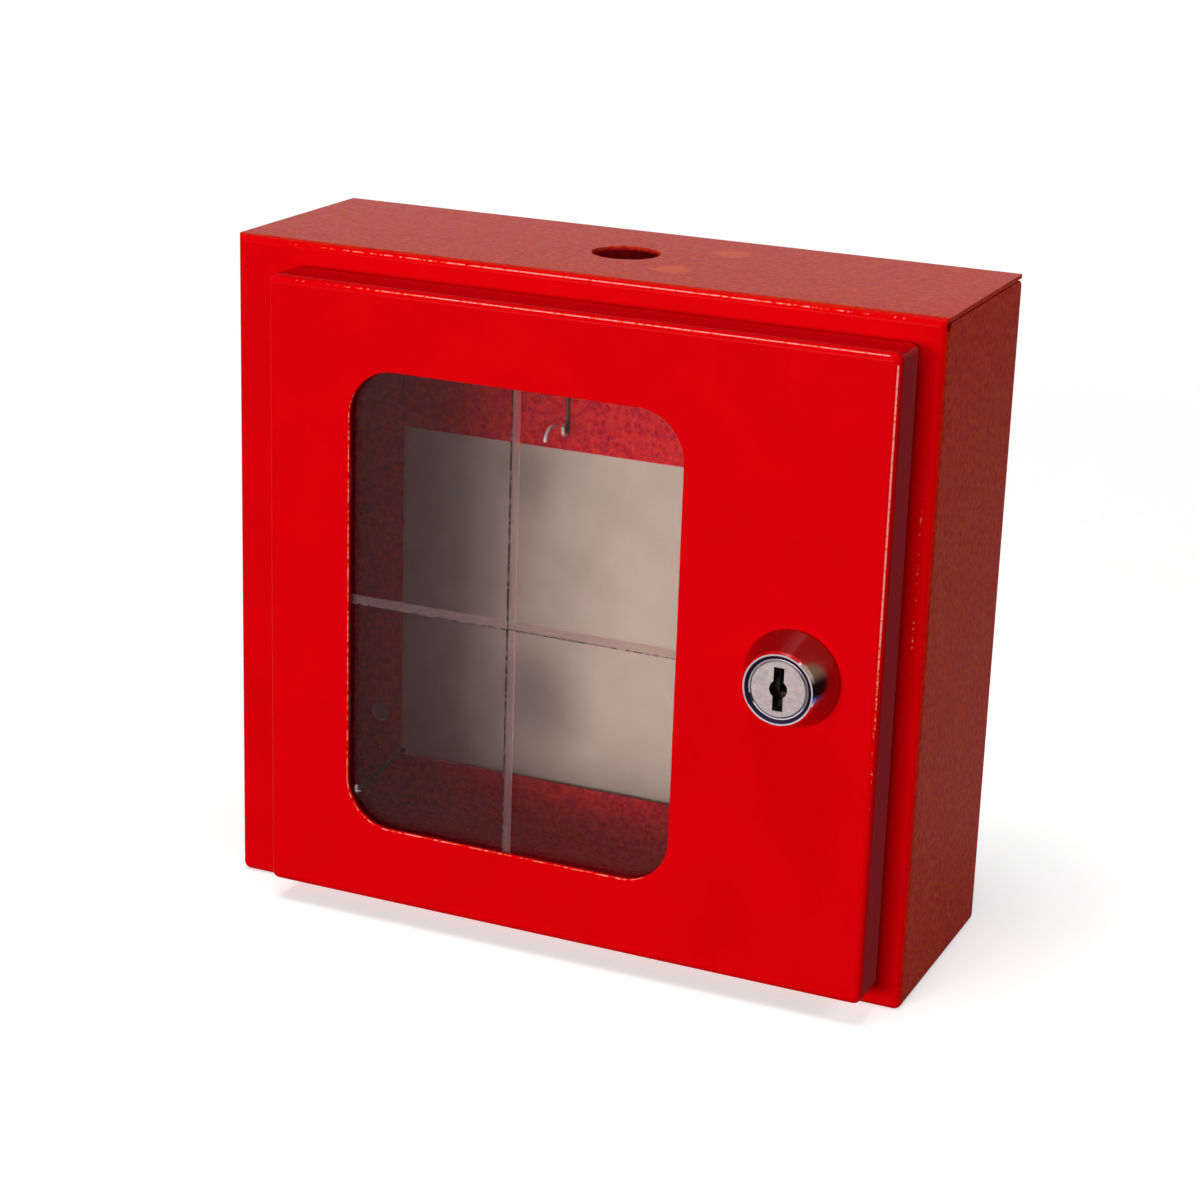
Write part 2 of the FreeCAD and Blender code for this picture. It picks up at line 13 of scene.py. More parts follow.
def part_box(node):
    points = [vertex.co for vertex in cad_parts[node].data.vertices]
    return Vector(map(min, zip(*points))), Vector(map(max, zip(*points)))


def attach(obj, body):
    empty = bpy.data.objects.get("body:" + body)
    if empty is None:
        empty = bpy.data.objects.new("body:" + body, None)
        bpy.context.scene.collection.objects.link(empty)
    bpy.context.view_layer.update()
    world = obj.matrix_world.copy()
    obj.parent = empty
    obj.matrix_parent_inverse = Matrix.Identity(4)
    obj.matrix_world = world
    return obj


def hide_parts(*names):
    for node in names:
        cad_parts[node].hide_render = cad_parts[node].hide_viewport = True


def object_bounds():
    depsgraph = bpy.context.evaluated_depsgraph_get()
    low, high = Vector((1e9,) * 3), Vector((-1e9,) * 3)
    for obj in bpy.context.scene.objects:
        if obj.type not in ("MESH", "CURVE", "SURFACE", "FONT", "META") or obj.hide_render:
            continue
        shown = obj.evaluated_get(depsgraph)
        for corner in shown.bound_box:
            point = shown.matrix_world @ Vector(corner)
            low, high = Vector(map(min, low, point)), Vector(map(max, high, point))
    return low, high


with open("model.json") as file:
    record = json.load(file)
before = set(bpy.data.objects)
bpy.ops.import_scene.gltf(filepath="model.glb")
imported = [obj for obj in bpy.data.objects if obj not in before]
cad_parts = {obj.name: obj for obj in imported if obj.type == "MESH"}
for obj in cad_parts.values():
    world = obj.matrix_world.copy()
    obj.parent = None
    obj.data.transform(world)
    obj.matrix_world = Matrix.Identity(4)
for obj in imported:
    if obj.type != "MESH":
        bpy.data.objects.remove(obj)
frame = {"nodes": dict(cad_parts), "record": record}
CAD_BOX = [list(corner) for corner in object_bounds()]

MM = 0.001
LOG = logging.getLogger("valve_box")
Colour = tuple[float, float, float, float]
Socket = bpy.types.NodeSocket
WHITE = (1.0, 1.0, 1.0, 1.0)


class Body(Enum):
    """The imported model's moving bodies."""

    CABINET = "cabinet"
    DOOR = "door"
    PLUG = "lock_plug"


class Side(Enum):
    """The sides of a sheet that a worn line can follow."""

    TOP = "top"
    RIGHT = "right"


def linear(code: str) -> Colour:
    """Turn an sRGB hex colour into linear light.

    Args:
        code: Six hex digits, with or without a leading hash.

    Returns:
        Linear red, green and blue, with an alpha of one.
    """
    code = code.lstrip("#")
    values = [int(code[at:at + 2], 16) / 255 for at in (0, 2, 4)]
    light = [value / 12.92 if value <= 0.04045 else ((value + 0.055) / 1.055) ** 2.4 for value in values]
    return light[0], light[1], light[2], 1.0


def add(tree: bpy.types.NodeTree, kind: str, settings: dict | None = None,
        inputs: dict | None = None) -> bpy.types.Node:
    """Add a node, set it up and link it.

    Args:
        tree: The shader or geometry tree that gets the node.
        kind: The node's type name in Blender.
        settings: Attributes of the node; "stops" lists a colour ramp's positions and colours.
        inputs: Values or output sockets, by input name or number.

    Returns:
        The new node.
    """
    node = tree.nodes.new(kind)
    for name, value in (settings or {}).items():
        if name == "stops":
            elements = node.color_ramp.elements
            while len(elements) < len(value):
                elements.new(1.0)
            for element, (position, colour) in zip(elements, value):
                element.position = position
                element.color = colour
        else:
            setattr(node, name, value)
    for key, value in (inputs or {}).items():
        if isinstance(value, Socket):
            tree.links.new(value, node.inputs[key])
        else:
            node.inputs[key].default_value = value
    return node


def new_material(name: str) -> tuple[bpy.types.Material, bpy.types.NodeTree, bpy.types.Node, bpy.types.Node]:
    """Start a material.

    Args:
        name: The material's name.

    Returns:
        The material, its tree, its Principled shader and its texture coordinates.
    """
    material = bpy.data.materials.new(name)
    material.use_nodes = True
    tree = material.node_tree
    return material, tree, tree.nodes["Principled BSDF"], add(tree, "ShaderNodeTexCoord")


def weld(mesh: bpy.types.Mesh) -> None:
    """Join a mesh's loose triangles and point its faces outwards.

    Args:
        mesh: The mesh to join.
    """
    shape = bmesh.new()
    shape.from_mesh(mesh)
    bmesh.ops.remove_doubles(shape, verts=shape.verts, dist=1e-7)
    bmesh.ops.recalc_face_normals(shape, faces=shape.faces)
    shape.to_mesh(mesh)
    shape.free()


@dataclass(frozen=True)
class HighlightLine:
    """A painted highlight line beside a sheet's top or right side, with two ends that fade in dots."""

    side: Side
    offset_mm: float
    centre_mm: float
    half_mm: float
    fade_mm: float
    glint_level: float = 0.14
    width_mm: float = 0.2
    blur_mm: float = 0.22


@dataclass(frozen=True)
class PowderCoat:
    """Polyester powder coat on sheet steel, sprayed and baked to a gloss.

    It is an even deep red in front. On the top and sides it mottles from orange to crimson, a painted sheen for the
    gloss those faces show at a slant, and inside it mottles in a darker crimson. Along the crests of some bends a pale
    painted highlight runs, in a line that ends in dots.
    """

    name: str
    sheet: str
    worn: tuple[HighlightLine, ...]
    colour: str = "#DC0109"
    shade: str = "#D60109"
    # Painted sheen: behind the front, the outside mottles between these two tones.
    outer: tuple[str, str] = ("#C4141E", "#DE4404")
    inner: tuple[str, str] = ("#980226", "#C8221C")
    # Painted highlight: the pale tone of the crest lines and the orange of their dots.
    sheen_tone: str = "#FFA09A"
    glint_dot: str = "#F06A30"
    cloud_mm: float = 22.0
    mottle_mm: float = 1.7
    peel_mm: float = 1.5
    peel_height_mm: float = 0.03
    gloss_mm: float = 3.2
    roughness: float = 0.14
    roughness_spread: float = 0.12
    ior: float = 1.05
    bend_mm: float = 2.4
    dash_mm: float = 1.2
    corner_mm: float = 3.2
    wall_mm: float = 1.3
    # Painted shade: a darker, duller red for the side returns; empty for none.
    return_shade: str = ""
    rim_mm: float = 0.0
    rim_inset_mm: float = 10.0
    orange_patch: str = "#F05C00"
    orange_patch_share: float = 0.6
    orange_patches_mm: tuple[tuple[float, float, float], ...] = ()

    def build(self) -> bpy.types.Material:
        """Make the material: an even red in front, mottled elsewhere, with orange peel and painted highlight lines."""
        material, tree, shader, coordinates = new_material(self.name)
        place = coordinates.outputs["Object"]
        low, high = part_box(self.sheet)
        centre, half = (low + high) / 2, (high - low) / 2
        where = add(tree, "ShaderNodeSeparateXYZ", inputs={"Vector": place})
        facing = add(tree, "ShaderNodeSeparateXYZ", inputs={"Vector": coordinates.outputs["Normal"]})
        depth = add(tree, "ShaderNodeMath", {"operation": "SUBTRACT"}, {0: where.outputs["Y"], 1: low.y}).outputs[0]
        across = self.inset(tree, where.outputs["X"], centre.x, half.x)
        upright = self.inset(tree, where.outputs["Z"], centre.z, half.z)
        inner = self.inside(tree, across, upright, depth)
        colour = self.mottled(tree, place, depth, inner)
        # Painted shade: the side returns turn a darker, duller red.
        if self.return_shade:
            share = self.shaded_returns(tree, facing.outputs["X"], depth, inner)
            colour = add(tree, "ShaderNodeMix", {"data_type": "RGBA"}, {0: share, 6: colour, 7: linear(self.return_shade)}).outputs[2]
        dashes = add(tree, "ShaderNodeTexNoise", inputs={"Vector": place, "Scale": 1 / (self.dash_mm * MM), "Detail": 2.0})
        # Painted highlights along the bends' crests, pale where strong and breaking into orange dots.
        for line in self.worn:
            if line.side is Side.TOP:
                edge, beside, along, end = high.z, where.outputs["Z"], where.outputs["X"], high.x
            else:
                edge, beside, along, end = high.x, where.outputs["X"], where.outputs["Z"], high.z
            gap = add(tree, "ShaderNodeMath", {"operation": "SUBTRACT"}, {0: edge, 1: beside}).outputs[0]
            band = self.crest(tree, gap, depth, line)
            short = add(tree, "ShaderNodeMath", {"operation": "LESS_THAN"}, {0: along, 1: end - self.corner_mm * MM})
            band = add(tree, "ShaderNodeMath", {"operation": "MULTIPLY"}, {0: band, 1: short.outputs[0]}).outputs[0]
            colour = self.lay_highlight(tree, colour, band, self.glint_level(tree, along, line, dashes.outputs["Fac"]))
        # Painted highlight on the left and bottom rims of the cut-outs.
        if self.rim_mm:
            band = self.rim(tree, facing, across, upright, depth)
            colour = self.lay_highlight(tree, colour, band, dashes.outputs["Fac"])
        for patch_x, patch_y, radius in self.orange_patches_mm:
            centre = Vector((patch_x * MM, patch_y * MM, high.z))
            share = self.in_orange_patch(tree, place, facing.outputs["Z"], centre, radius * MM)
            colour = add(tree, "ShaderNodeMix", {"data_type": "RGBA"}, {0: share, 6: colour, 7: linear(self.orange_patch)}).outputs[2]
        patch = add(tree, "ShaderNodeTexNoise", inputs={"Vector": place, "Scale": 1 / (self.gloss_mm * MM), "Detail": 3.0})
        gloss = add(tree, "ShaderNodeMapRange", inputs={
            "Value": patch.outputs["Fac"], "From Min": 0.3, "From Max": 0.7,
            "To Min": self.roughness, "To Max": self.roughness + self.roughness_spread})
        peel = add(tree, "ShaderNodeTexNoise",
                   inputs={"Vector": place, "Scale": 1 / (self.peel_mm * MM), "Detail": 2.0, "Roughness": 0.4})
        bump = add(tree, "ShaderNodeBump", inputs={
            "Strength": 1.0, "Distance": self.peel_height_mm * MM, "Height": peel.outputs["Fac"]})
        tree.links.new(colour, shader.inputs["Base Color"])
        tree.links.new(gloss.outputs["Result"], shader.inputs["Roughness"])
        tree.links.new(bump.outputs["Normal"], shader.inputs["Normal"])
        shader.inputs["IOR"].default_value = self.ior
        return material

    def mottled(self, tree: bpy.types.NodeTree, place: Socket, depth: Socket, inner: Socket) -> Socket:
        """Colour the coat: clouded red in front; behind the front a mottle, orange to crimson outside as painted sheen,
        darker crimson inside.

        Args:
            tree: The material's tree.
            place: Object coordinates.
            depth: Distance in from the front.
            inner: The share of the inside.

        Returns:
            The coat's colour.
        """
        cloud = add(tree, "ShaderNodeTexNoise", inputs={"Vector": place, "Scale": 1 / (self.cloud_mm * MM), "Detail": 3.0})
        front = add(tree, "ShaderNodeValToRGB", {"stops": [(0.35, linear(self.shade)), (0.65, linear(self.colour))]},
                    {"Fac": cloud.outputs["Fac"]})
        mottle = add(tree, "ShaderNodeTexNoise", inputs={
            "Vector": place, "Scale": 1 / (self.mottle_mm * MM), "Detail": 3.0, "Roughness": 0.65})
        tones = [add(tree, "ShaderNodeValToRGB", {"stops": [(0.5 - half, linear(crimson)), (0.5 + half, linear(orange))]},
                     {"Fac": mottle.outputs["Fac"]})
                 for half, (crimson, orange) in ((0.16, self.outer), (0.12, self.inner))]
        sheen_tone = add(tree, "ShaderNodeMix", {"data_type": "RGBA"},
                   {0: inner, 6: tones[0].outputs["Color"], 7: tones[1].outputs["Color"]})
        behind = add(tree, "ShaderNodeMapRange", inputs={
            "Value": depth, "From Min": self.wall_mm / 2 * MM, "From Max": self.bend_mm * MM})
        return add(tree, "ShaderNodeMix", {"data_type": "RGBA"},
                   {0: behind.outputs["Result"], 6: front.outputs["Color"], 7: sheen_tone.outputs[2]}).outputs[2]

    def inset(self, tree: bpy.types.NodeTree, along: Socket, centre: float, half: float) -> Socket:
        """Measure how far a point is in from the nearer of the sheet's two sides.

        Args:
            tree: The material's tree.
            along: The coordinate across those sides.
            centre: The middle between them.
            half: Half the distance between them.

        Returns:
            The distance, in metres.
        """
        off = add(tree, "ShaderNodeMath", {"operation": "SUBTRACT"}, {0: along, 1: centre})
        away = add(tree, "ShaderNodeMath", {"operation": "ABSOLUTE"}, {0: off.outputs[0]})
        return add(tree, "ShaderNodeMath", {"operation": "SUBTRACT"}, {0: half, 1: away.outputs[0]}).outputs[0]

    def inside(self, tree: bpy.types.NodeTree, across: Socket, upright: Socket, depth: Socket) -> Socket:
        """Tell the sheet's inner faces from its outer ones.

        Args:
            tree: The material's tree.
            across: Distance in from the left or right side.
            upright: Distance in from the top or the bottom.
            depth: Distance in from the front.

        Returns:
            One inside, none outside.
        """
        share = None
        for distance in (across, upright, depth):
            within = add(tree, "ShaderNodeMath", {"operation": "GREATER_THAN"},
                         {0: distance, 1: self.wall_mm / 2 * MM}).outputs[0]
            share = within if share is None else add(
                tree, "ShaderNodeMath", {"operation": "MULTIPLY"}, {0: share, 1: within}).outputs[0]
        return share

    def shaded_returns(self, tree: bpy.types.NodeTree, sideways: Socket, depth: Socket, inner: Socket) -> Socket:
        """Find the sheet's side returns, which turn a darker, duller red as painted shade.

        Args:
            tree: The material's tree.
            sideways: The normal's sideways part.
            depth: Distance in from the front.
            inner: The share of the inside.

        Returns:
            One on the returns, none elsewhere.
        """
        turned = add(tree, "ShaderNodeMath", {"operation": "ABSOLUTE"}, {0: sideways})
        side = add(tree, "ShaderNodeMath", {"operation": "GREATER_THAN"}, {0: turned.outputs[0], 1: 0.7})
        share = add(tree, "ShaderNodeMapRange", inputs={
            "Value": depth, "From Min": self.bend_mm * MM, "From Max": 1.3 * self.bend_mm * MM})
        outside = add(tree, "ShaderNodeMath", {"operation": "SUBTRACT"}, {0: side.outputs[0], 1: inner})
        return add(tree, "ShaderNodeMath", {"operation": "MULTIPLY", "use_clamp": True},
                   {0: outside.outputs[0], 1: share.outputs["Result"]}).outputs[0]

    def crest(self, tree: bpy.types.NodeTree, gap: Socket, depth: Socket, worn: HighlightLine) -> Socket:
        """Find a narrow band along a side: at no offset the crest of its bend, and further in a line on the face.

        Args:
            tree: The material's tree.
            gap: Distance in from the side.
            depth: Distance in from the front.
            highlight: The highlight line, whose offset says how much further in from the side than from the front it
                lies.

        Returns:
            One on the band, falling to none beside it.
        """
        unlike = add(tree, "ShaderNodeMath", {"operation": "SUBTRACT"}, {0: gap, 1: depth})
        beside = add(tree, "ShaderNodeMath", {"operation": "SUBTRACT"}, {0: unlike.outputs[0], 1: worn.offset_mm * MM})
        away = add(tree, "ShaderNodeMath", {"operation": "ABSOLUTE"}, {0: beside.outputs[0]})
        line = add(tree, "ShaderNodeMapRange", inputs={
            "Value": away.outputs[0], "From Min": worn.width_mm / 2 * MM,
            "From Max": (worn.width_mm / 2 + worn.blur_mm) * MM, "To Min": 1.0, "To Max": 0.0})
        near = add(tree, "ShaderNodeMath", {"operation": "LESS_THAN"}, {0: depth, 1: self.bend_mm * MM})
        return add(tree, "ShaderNodeMath", {"operation": "MULTIPLY"}, {0: line.outputs["Result"], 1: near.outputs[0]}).outputs[0]

    def glint_level(self, tree: bpy.types.NodeTree, along: Socket, line: HighlightLine, dashes: Socket) -> Socket:
        """Tell how strong a highlight line is from place to place.

        Args:
            tree: The material's tree.
            along: The coordinate along the line.
            line: The line's stretches.
            dashes: A fine noise around a half.

        Returns:
            The noise, raised along the line's middle stretch and lowered towards its ends.
        """
        off = add(tree, "ShaderNodeMath", {"operation": "SUBTRACT"}, {0: along, 1: line.centre_mm * MM})
        away = add(tree, "ShaderNodeMath", {"operation": "ABSOLUTE"}, {0: off.outputs[0]})
        level = add(tree, "ShaderNodeMapRange", inputs={
            "Value": away.outputs[0], "From Min": line.half_mm * MM, "From Max": (line.half_mm + line.fade_mm) * MM,
            "To Min": line.glint_level, "To Max": line.glint_level - 0.45})
        return add(tree, "ShaderNodeMath", {"operation": "ADD"}, {0: dashes, 1: level.outputs["Result"]}).outputs[0]

    def lay_highlight(self, tree: bpy.types.NodeTree, colour: Socket, band: Socket, glint_level: Socket) -> Socket:
        """Lay a band of painted highlight over a colour: orange dots where it is faint, pale where it is stronger.

        Args:
            tree: The material's tree.
            colour: The colour below.
            band: The share of the band.
            glint_level: How strong the highlight is; at a half it shows in every other place.

        Returns:
            The colour with the band.
        """
        dotted = add(tree, "ShaderNodeMapRange", inputs={"Value": glint_level, "From Min": 0.44, "From Max": 0.52})
        pale = add(tree, "ShaderNodeMapRange", inputs={"Value": glint_level, "From Min": 0.5, "From Max": 0.64})
        tone = add(tree, "ShaderNodeMix", {"data_type": "RGBA"},
                   {0: pale.outputs["Result"], 6: linear(self.glint_dot), 7: linear(self.sheen_tone)})
        share = add(tree, "ShaderNodeMath", {"operation": "MULTIPLY"}, {0: band, 1: dotted.outputs["Result"]})
        return add(tree, "ShaderNodeMix", {"data_type": "RGBA"}, {0: share.outputs[0], 6: colour, 7: tone.outputs[2]}).outputs[2]

    def rim(self, tree: bpy.types.NodeTree, facing: bpy.types.Node, across: Socket, upright: Socket,
            depth: Socket) -> Socket:
        """Find the eased rim at the left and the bottom of the sheet's cut-outs, where a painted highlight lies.

        Args:
            tree: The material's tree.
            facing: The normal's three parts.
            across: Distance in from the left or right side.
            upright: Distance in from the top or the bottom.
            depth: Distance in from the front.

        Returns:
            One on the rim, none elsewhere.
        """
        straight = add(tree, "ShaderNodeMath", {"operation": "ABSOLUTE"}, {0: facing.outputs["Y"]})
        slanted = add(tree, "ShaderNodeMath", {"operation": "COMPARE"}, {0: straight.outputs[0], 1: 0.6, 2: 0.33})
        share = add(tree, "ShaderNodeMath", {"operation": "LESS_THAN"}, {0: depth, 1: self.rim_mm * MM}).outputs[0]
        for distance in (across, upright):
            within = add(tree, "ShaderNodeMath", {"operation": "GREATER_THAN"}, {0: distance, 1: self.rim_inset_mm * MM})
            share = add(tree, "ShaderNodeMath", {"operation": "MULTIPLY"}, {0: share, 1: within.outputs[0]}).outputs[0]
        inward = add(tree, "ShaderNodeMath", {"operation": "ADD"}, {0: facing.outputs["X"], 1: facing.outputs["Z"]})
        left_or_low = add(tree, "ShaderNodeMath", {"operation": "GREATER_THAN"}, {0: inward.outputs[0], 1: 0.35})
        both = add(tree, "ShaderNodeMath", {"operation": "MULTIPLY"}, {0: slanted.outputs[0], 1: left_or_low.outputs[0]})
        return add(tree, "ShaderNodeMath", {"operation": "MULTIPLY"}, {0: share, 1: both.outputs[0]}).outputs[0]

    def in_orange_patch(self, tree: bpy.types.NodeTree, place: Socket, up: Socket, centre: Vector, radius: float) -> Socket:
        """Tell where a faint orange patch lies on the top, with a ragged rim.

        Args:
            tree: The material's tree.
            place: Object coordinates.
            up: The normal's upward part.
            centre: The mark's centre on the top.
            radius: The mark's radius.

        Returns:
            The share of the rub's colour.
        """
        wobble = add(tree, "ShaderNodeTexNoise", inputs={"Vector": place, "Scale": 1 / (4.0 * MM), "Detail": 2.0})
        away = add(tree, "ShaderNodeVectorMath", {"operation": "DISTANCE"}, {0: place, 1: centre})
        ragged = add(tree, "ShaderNodeMath", {"operation": "MULTIPLY_ADD"},
                     {0: wobble.outputs["Fac"], 1: radius, 2: away.outputs["Value"]})
        mark = add(tree, "ShaderNodeMapRange", inputs={
            "Value": ragged.outputs[0], "From Min": radius, "From Max": 1.5 * radius,
            "To Min": self.orange_patch_share, "To Max": 0.0})
        top = add(tree, "ShaderNodeMath", {"operation": "GREATER_THAN"}, {0: up, 1: 0.9})
        return add(tree, "ShaderNodeMath", {"operation": "MULTIPLY"},
                   {0: mark.outputs["Result"], 1: top.outputs[0]}).outputs[0]


@dataclass(frozen=True)
class ToneBand:
    """A dull stretch of a metal piece: a ring round the piece's middle, between two depths along Y."""

    node: str
    radii_mm: tuple[float, float]
    y_mm: tuple[float, float]
    colour: str
    roughness: float = 0.5


@dataclass(frozen=True)
class Metal:
    """A bare or plated metal with its grain."""

    name: str
    colour: str
    shade: str
    roughness: float
    roughness_spread: float
    grain_mm: tuple[float, float, float]
    grain_height_mm: float = 0.0
    metallic: float = 1.0
    tone_bands: tuple[ToneBand, ...] = ()

    def build(self) -> bpy.types.Material:
        """Make the material: two close tones, a stretched grain in gloss and bump."""
        material, tree, shader, coordinates = new_material(self.name)
        scale = tuple(1 / (size * MM) for size in self.grain_mm)
        stretched = add(tree, "ShaderNodeMapping", {"vector_type": "POINT"},
                        {"Vector": coordinates.outputs["Object"], "Scale": scale})
        grain = add(tree, "ShaderNodeTexNoise", inputs={"Vector": stretched.outputs["Vector"], "Scale": 1.0, "Detail": 3.0})
        colour = add(tree, "ShaderNodeValToRGB", {"stops": [(0.35, linear(self.shade)), (0.65, linear(self.colour))]},
                     {"Fac": grain.outputs["Fac"]})
        gloss = add(tree, "ShaderNodeMapRange", inputs={
            "Value": grain.outputs["Fac"], "From Min": 0.3, "From Max": 0.7,
            "To Min": self.roughness, "To Max": self.roughness + self.roughness_spread})
        shown, rough = colour.outputs["Color"], gloss.outputs["Result"]
        for tone_band in self.tone_bands:
            share = self.in_tone_band(tree, coordinates.outputs["Object"], tone_band)
            shown = add(tree, "ShaderNodeMix", {"data_type": "RGBA"}, {0: share, 6: shown, 7: linear(tone_band.colour)}).outputs[2]
            rough = add(tree, "ShaderNodeMix", {"data_type": "FLOAT"}, {0: share, 2: rough, 3: tone_band.roughness}).outputs[0]
        tree.links.new(shown, shader.inputs["Base Color"])
        tree.links.new(rough, shader.inputs["Roughness"])
        if self.grain_height_mm:
            bump = add(tree, "ShaderNodeBump", inputs={
                "Strength": 1.0, "Distance": self.grain_height_mm * MM, "Height": grain.outputs["Fac"]})
            tree.links.new(bump.outputs["Normal"], shader.inputs["Normal"])
        shader.inputs["Metallic"].default_value = self.metallic
        return material

    def in_tone_band(self, tree: bpy.types.NodeTree, place: Socket, tone_band: ToneBand) -> Socket:
        """Tell where the band lies.

        Args:
            tree: The material's tree.
            place: Object coordinates.
            tone_band: The stretch that is dull.

        Returns:
            One on the band, none elsewhere.
        """
        low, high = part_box(tone_band.node)
        axes = add(tree, "ShaderNodeSeparateXYZ", inputs={"Vector": place})
        flat = add(tree, "ShaderNodeCombineXYZ", inputs={"X": axes.outputs["X"], "Z": axes.outputs["Z"]})
        middle = ((low.x + high.x) / 2, 0.0, (low.z + high.z) / 2)
        away = add(tree, "ShaderNodeVectorMath", {"operation": "DISTANCE"}, {0: flat.outputs[0], 1: middle})
        share = None
        for value, ends in ((away.outputs["Value"], tone_band.radii_mm), (axes.outputs["Y"], tone_band.y_mm)):
            near, far = (end * MM for end in ends)
            between = add(tree, "ShaderNodeMath", {"operation": "COMPARE"},
                          {0: value, 1: (near + far) / 2, 2: (far - near) / 2}).outputs[0]
            share = between if share is None else add(
                tree, "ShaderNodeMath", {"operation": "MULTIPLY"}, {0: share, 1: between}).outputs[0]
        return share


@dataclass(frozen=True)
class Rubber:
    """Moulded EPDM rubber: black, matt, with a bloom of grey."""

    name: str = "EPDM rubber, moulded black"
    colour: str = "#1B1A1A"
    bloom: str = "#2C2A29"
    grit_mm: float = 0.6
    roughness: float = 0.72

    def build(self) -> bpy.types.Material:
        """Make the material: a fine grit in colour and bump."""
        material, tree, shader, coordinates = new_material(self.name)
        grit = add(tree, "ShaderNodeTexNoise", inputs={
            "Vector": coordinates.outputs["Object"], "Scale": 1 / (self.grit_mm * MM), "Detail": 3.0})
        colour = add(tree, "ShaderNodeValToRGB", {"stops": [(0.4, linear(self.colour)), (0.75, linear(self.bloom))]},
                     {"Fac": grit.outputs["Fac"]})
        bump = add(tree, "ShaderNodeBump", inputs={"Strength": 0.5, "Distance": 0.02 * MM, "Height": grit.outputs["Fac"]})
        tree.links.new(colour.outputs["Color"], shader.inputs["Base Color"])
        tree.links.new(bump.outputs["Normal"], shader.inputs["Normal"])
        shader.inputs["Roughness"].default_value = self.roughness
        shader.inputs["IOR"].default_value = 1.52
        return material


@dataclass(frozen=True)
class ScoredPane:
    """Clear acrylic sheet with a milled cross, whose cut faces are frosted. Lamps shine through it."""

    name: str = "Acrylic sheet, clear with a milled cross"
    clear: str = "#E9E7E4"
    passed: str = "#F4F2EE"
    frost: str = "#C5A6A4"
    shadow: str = "#2A2022"
    groove_mm: float = 2.9
    score_mm: float = 0.5
    haze_mm: float = 1.1
    shadow_in_mm: float = 0.15
    shadow_half_mm: float = 0.14
    cover: float = 0.12
    cover_spread: float = 0.08
    frosted_roughness: float = 0.2
    ior: float = 1.25

    def build(self) -> bpy.types.Material:
        """Make the material: a clear pane that turns frosted where the cross is cut."""
        material, tree, shader, coordinates = new_material(self.name)
        place = coordinates.outputs["Object"]
        low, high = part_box("pane")
        axes = add(tree, "ShaderNodeSeparateXYZ", inputs={"Vector": place})
        bands, lines = [], []
        edge = (self.groove_mm / 2 - self.shadow_in_mm) * MM
        for axis, middle in (("X", (low.x + high.x) / 2), ("Z", (low.z + high.z) / 2)):
            offset = add(tree, "ShaderNodeMath", {"operation": "SUBTRACT"}, {0: axes.outputs[axis], 1: middle})
            bands.append(add(tree, "ShaderNodeMath", {"operation": "COMPARE"},
                             {0: offset.outputs[0], 1: 0.0, 2: self.groove_mm / 2 * MM}))
            lines.append(add(tree, "ShaderNodeMath", {"operation": "COMPARE"},
                             {0: offset.outputs[0], 1: -edge, 2: self.shadow_half_mm * MM}))
        cross = add(tree, "ShaderNodeMath", {"operation": "MAXIMUM"}, {0: bands[0].outputs[0], 1: bands[1].outputs[0]})
        ahead = add(tree, "ShaderNodeMath", {"operation": "LESS_THAN"},
                    {0: axes.outputs["Y"], 1: low.y + (self.score_mm + 0.2) * MM})
        cut = add(tree, "ShaderNodeMath", {"operation": "MULTIPLY"}, {0: cross.outputs[0], 1: ahead.outputs[0]})
        haze = add(tree, "ShaderNodeTexNoise", inputs={"Vector": place, "Scale": 1 / (self.haze_mm * MM), "Detail": 2.0})
        cover = add(tree, "ShaderNodeMapRange", inputs={
            "Value": haze.outputs["Fac"], "From Min": 0.3, "From Max": 0.7,
            "To Min": self.cover, "To Max": self.cover + self.cover_spread})
        line = add(tree, "ShaderNodeMath", {"operation": "MAXIMUM"}, {0: lines[0].outputs[0], 1: lines[1].outputs[0]})
        broken = add(tree, "ShaderNodeMapRange", inputs={"Value": haze.outputs["Fac"], "From Min": 0.42, "From Max": 0.5})
        dark = add(tree, "ShaderNodeMath", {"operation": "MULTIPLY"}, {0: line.outputs[0], 1: broken.outputs["Result"]})
        dense = add(tree, "ShaderNodeMath", {"operation": "MAXIMUM"}, {0: cover.outputs["Result"], 1: dark.outputs[0]})
        frosted = add(tree, "ShaderNodeMath", {"operation": "MULTIPLY"}, {0: cut.outputs[0], 1: dense.outputs[0]})
        see = add(tree, "ShaderNodeMath", {"operation": "SUBTRACT"}, {0: 1.0, 1: frosted.outputs[0]})
        rough = add(tree, "ShaderNodeMath", {"operation": "MULTIPLY"}, {0: cut.outputs[0], 1: self.frosted_roughness})
        tint = add(tree, "ShaderNodeValToRGB", {"stops": [(0.0, linear(self.clear)), (1.0, linear(self.frost))]},
                   {"Fac": cut.outputs[0]})
        lined = add(tree, "ShaderNodeMath", {"operation": "MULTIPLY"}, {0: cut.outputs[0], 1: dark.outputs[0]})
        shown = add(tree, "ShaderNodeMix", {"data_type": "RGBA"},
                    {0: lined.outputs[0], 6: tint.outputs["Color"], 7: linear(self.shadow)})
        tree.links.new(shown.outputs[2], shader.inputs["Base Color"])
        tree.links.new(see.outputs[0], shader.inputs["Transmission Weight"])
        tree.links.new(rough.outputs[0], shader.inputs["Roughness"])
        shader.inputs["IOR"].default_value = self.ior
        path = add(tree, "ShaderNodeLightPath")
        let_by = add(tree, "ShaderNodeBsdfTransparent", inputs={"Color": linear(self.passed)})
        both = add(tree, "ShaderNodeMixShader", inputs={
            0: path.outputs["Is Shadow Ray"], 1: shader.outputs[0], 2: let_by.outputs[0]})
        tree.links.new(both.outputs[0], tree.nodes["Material Output"].inputs["Surface"])
        return material


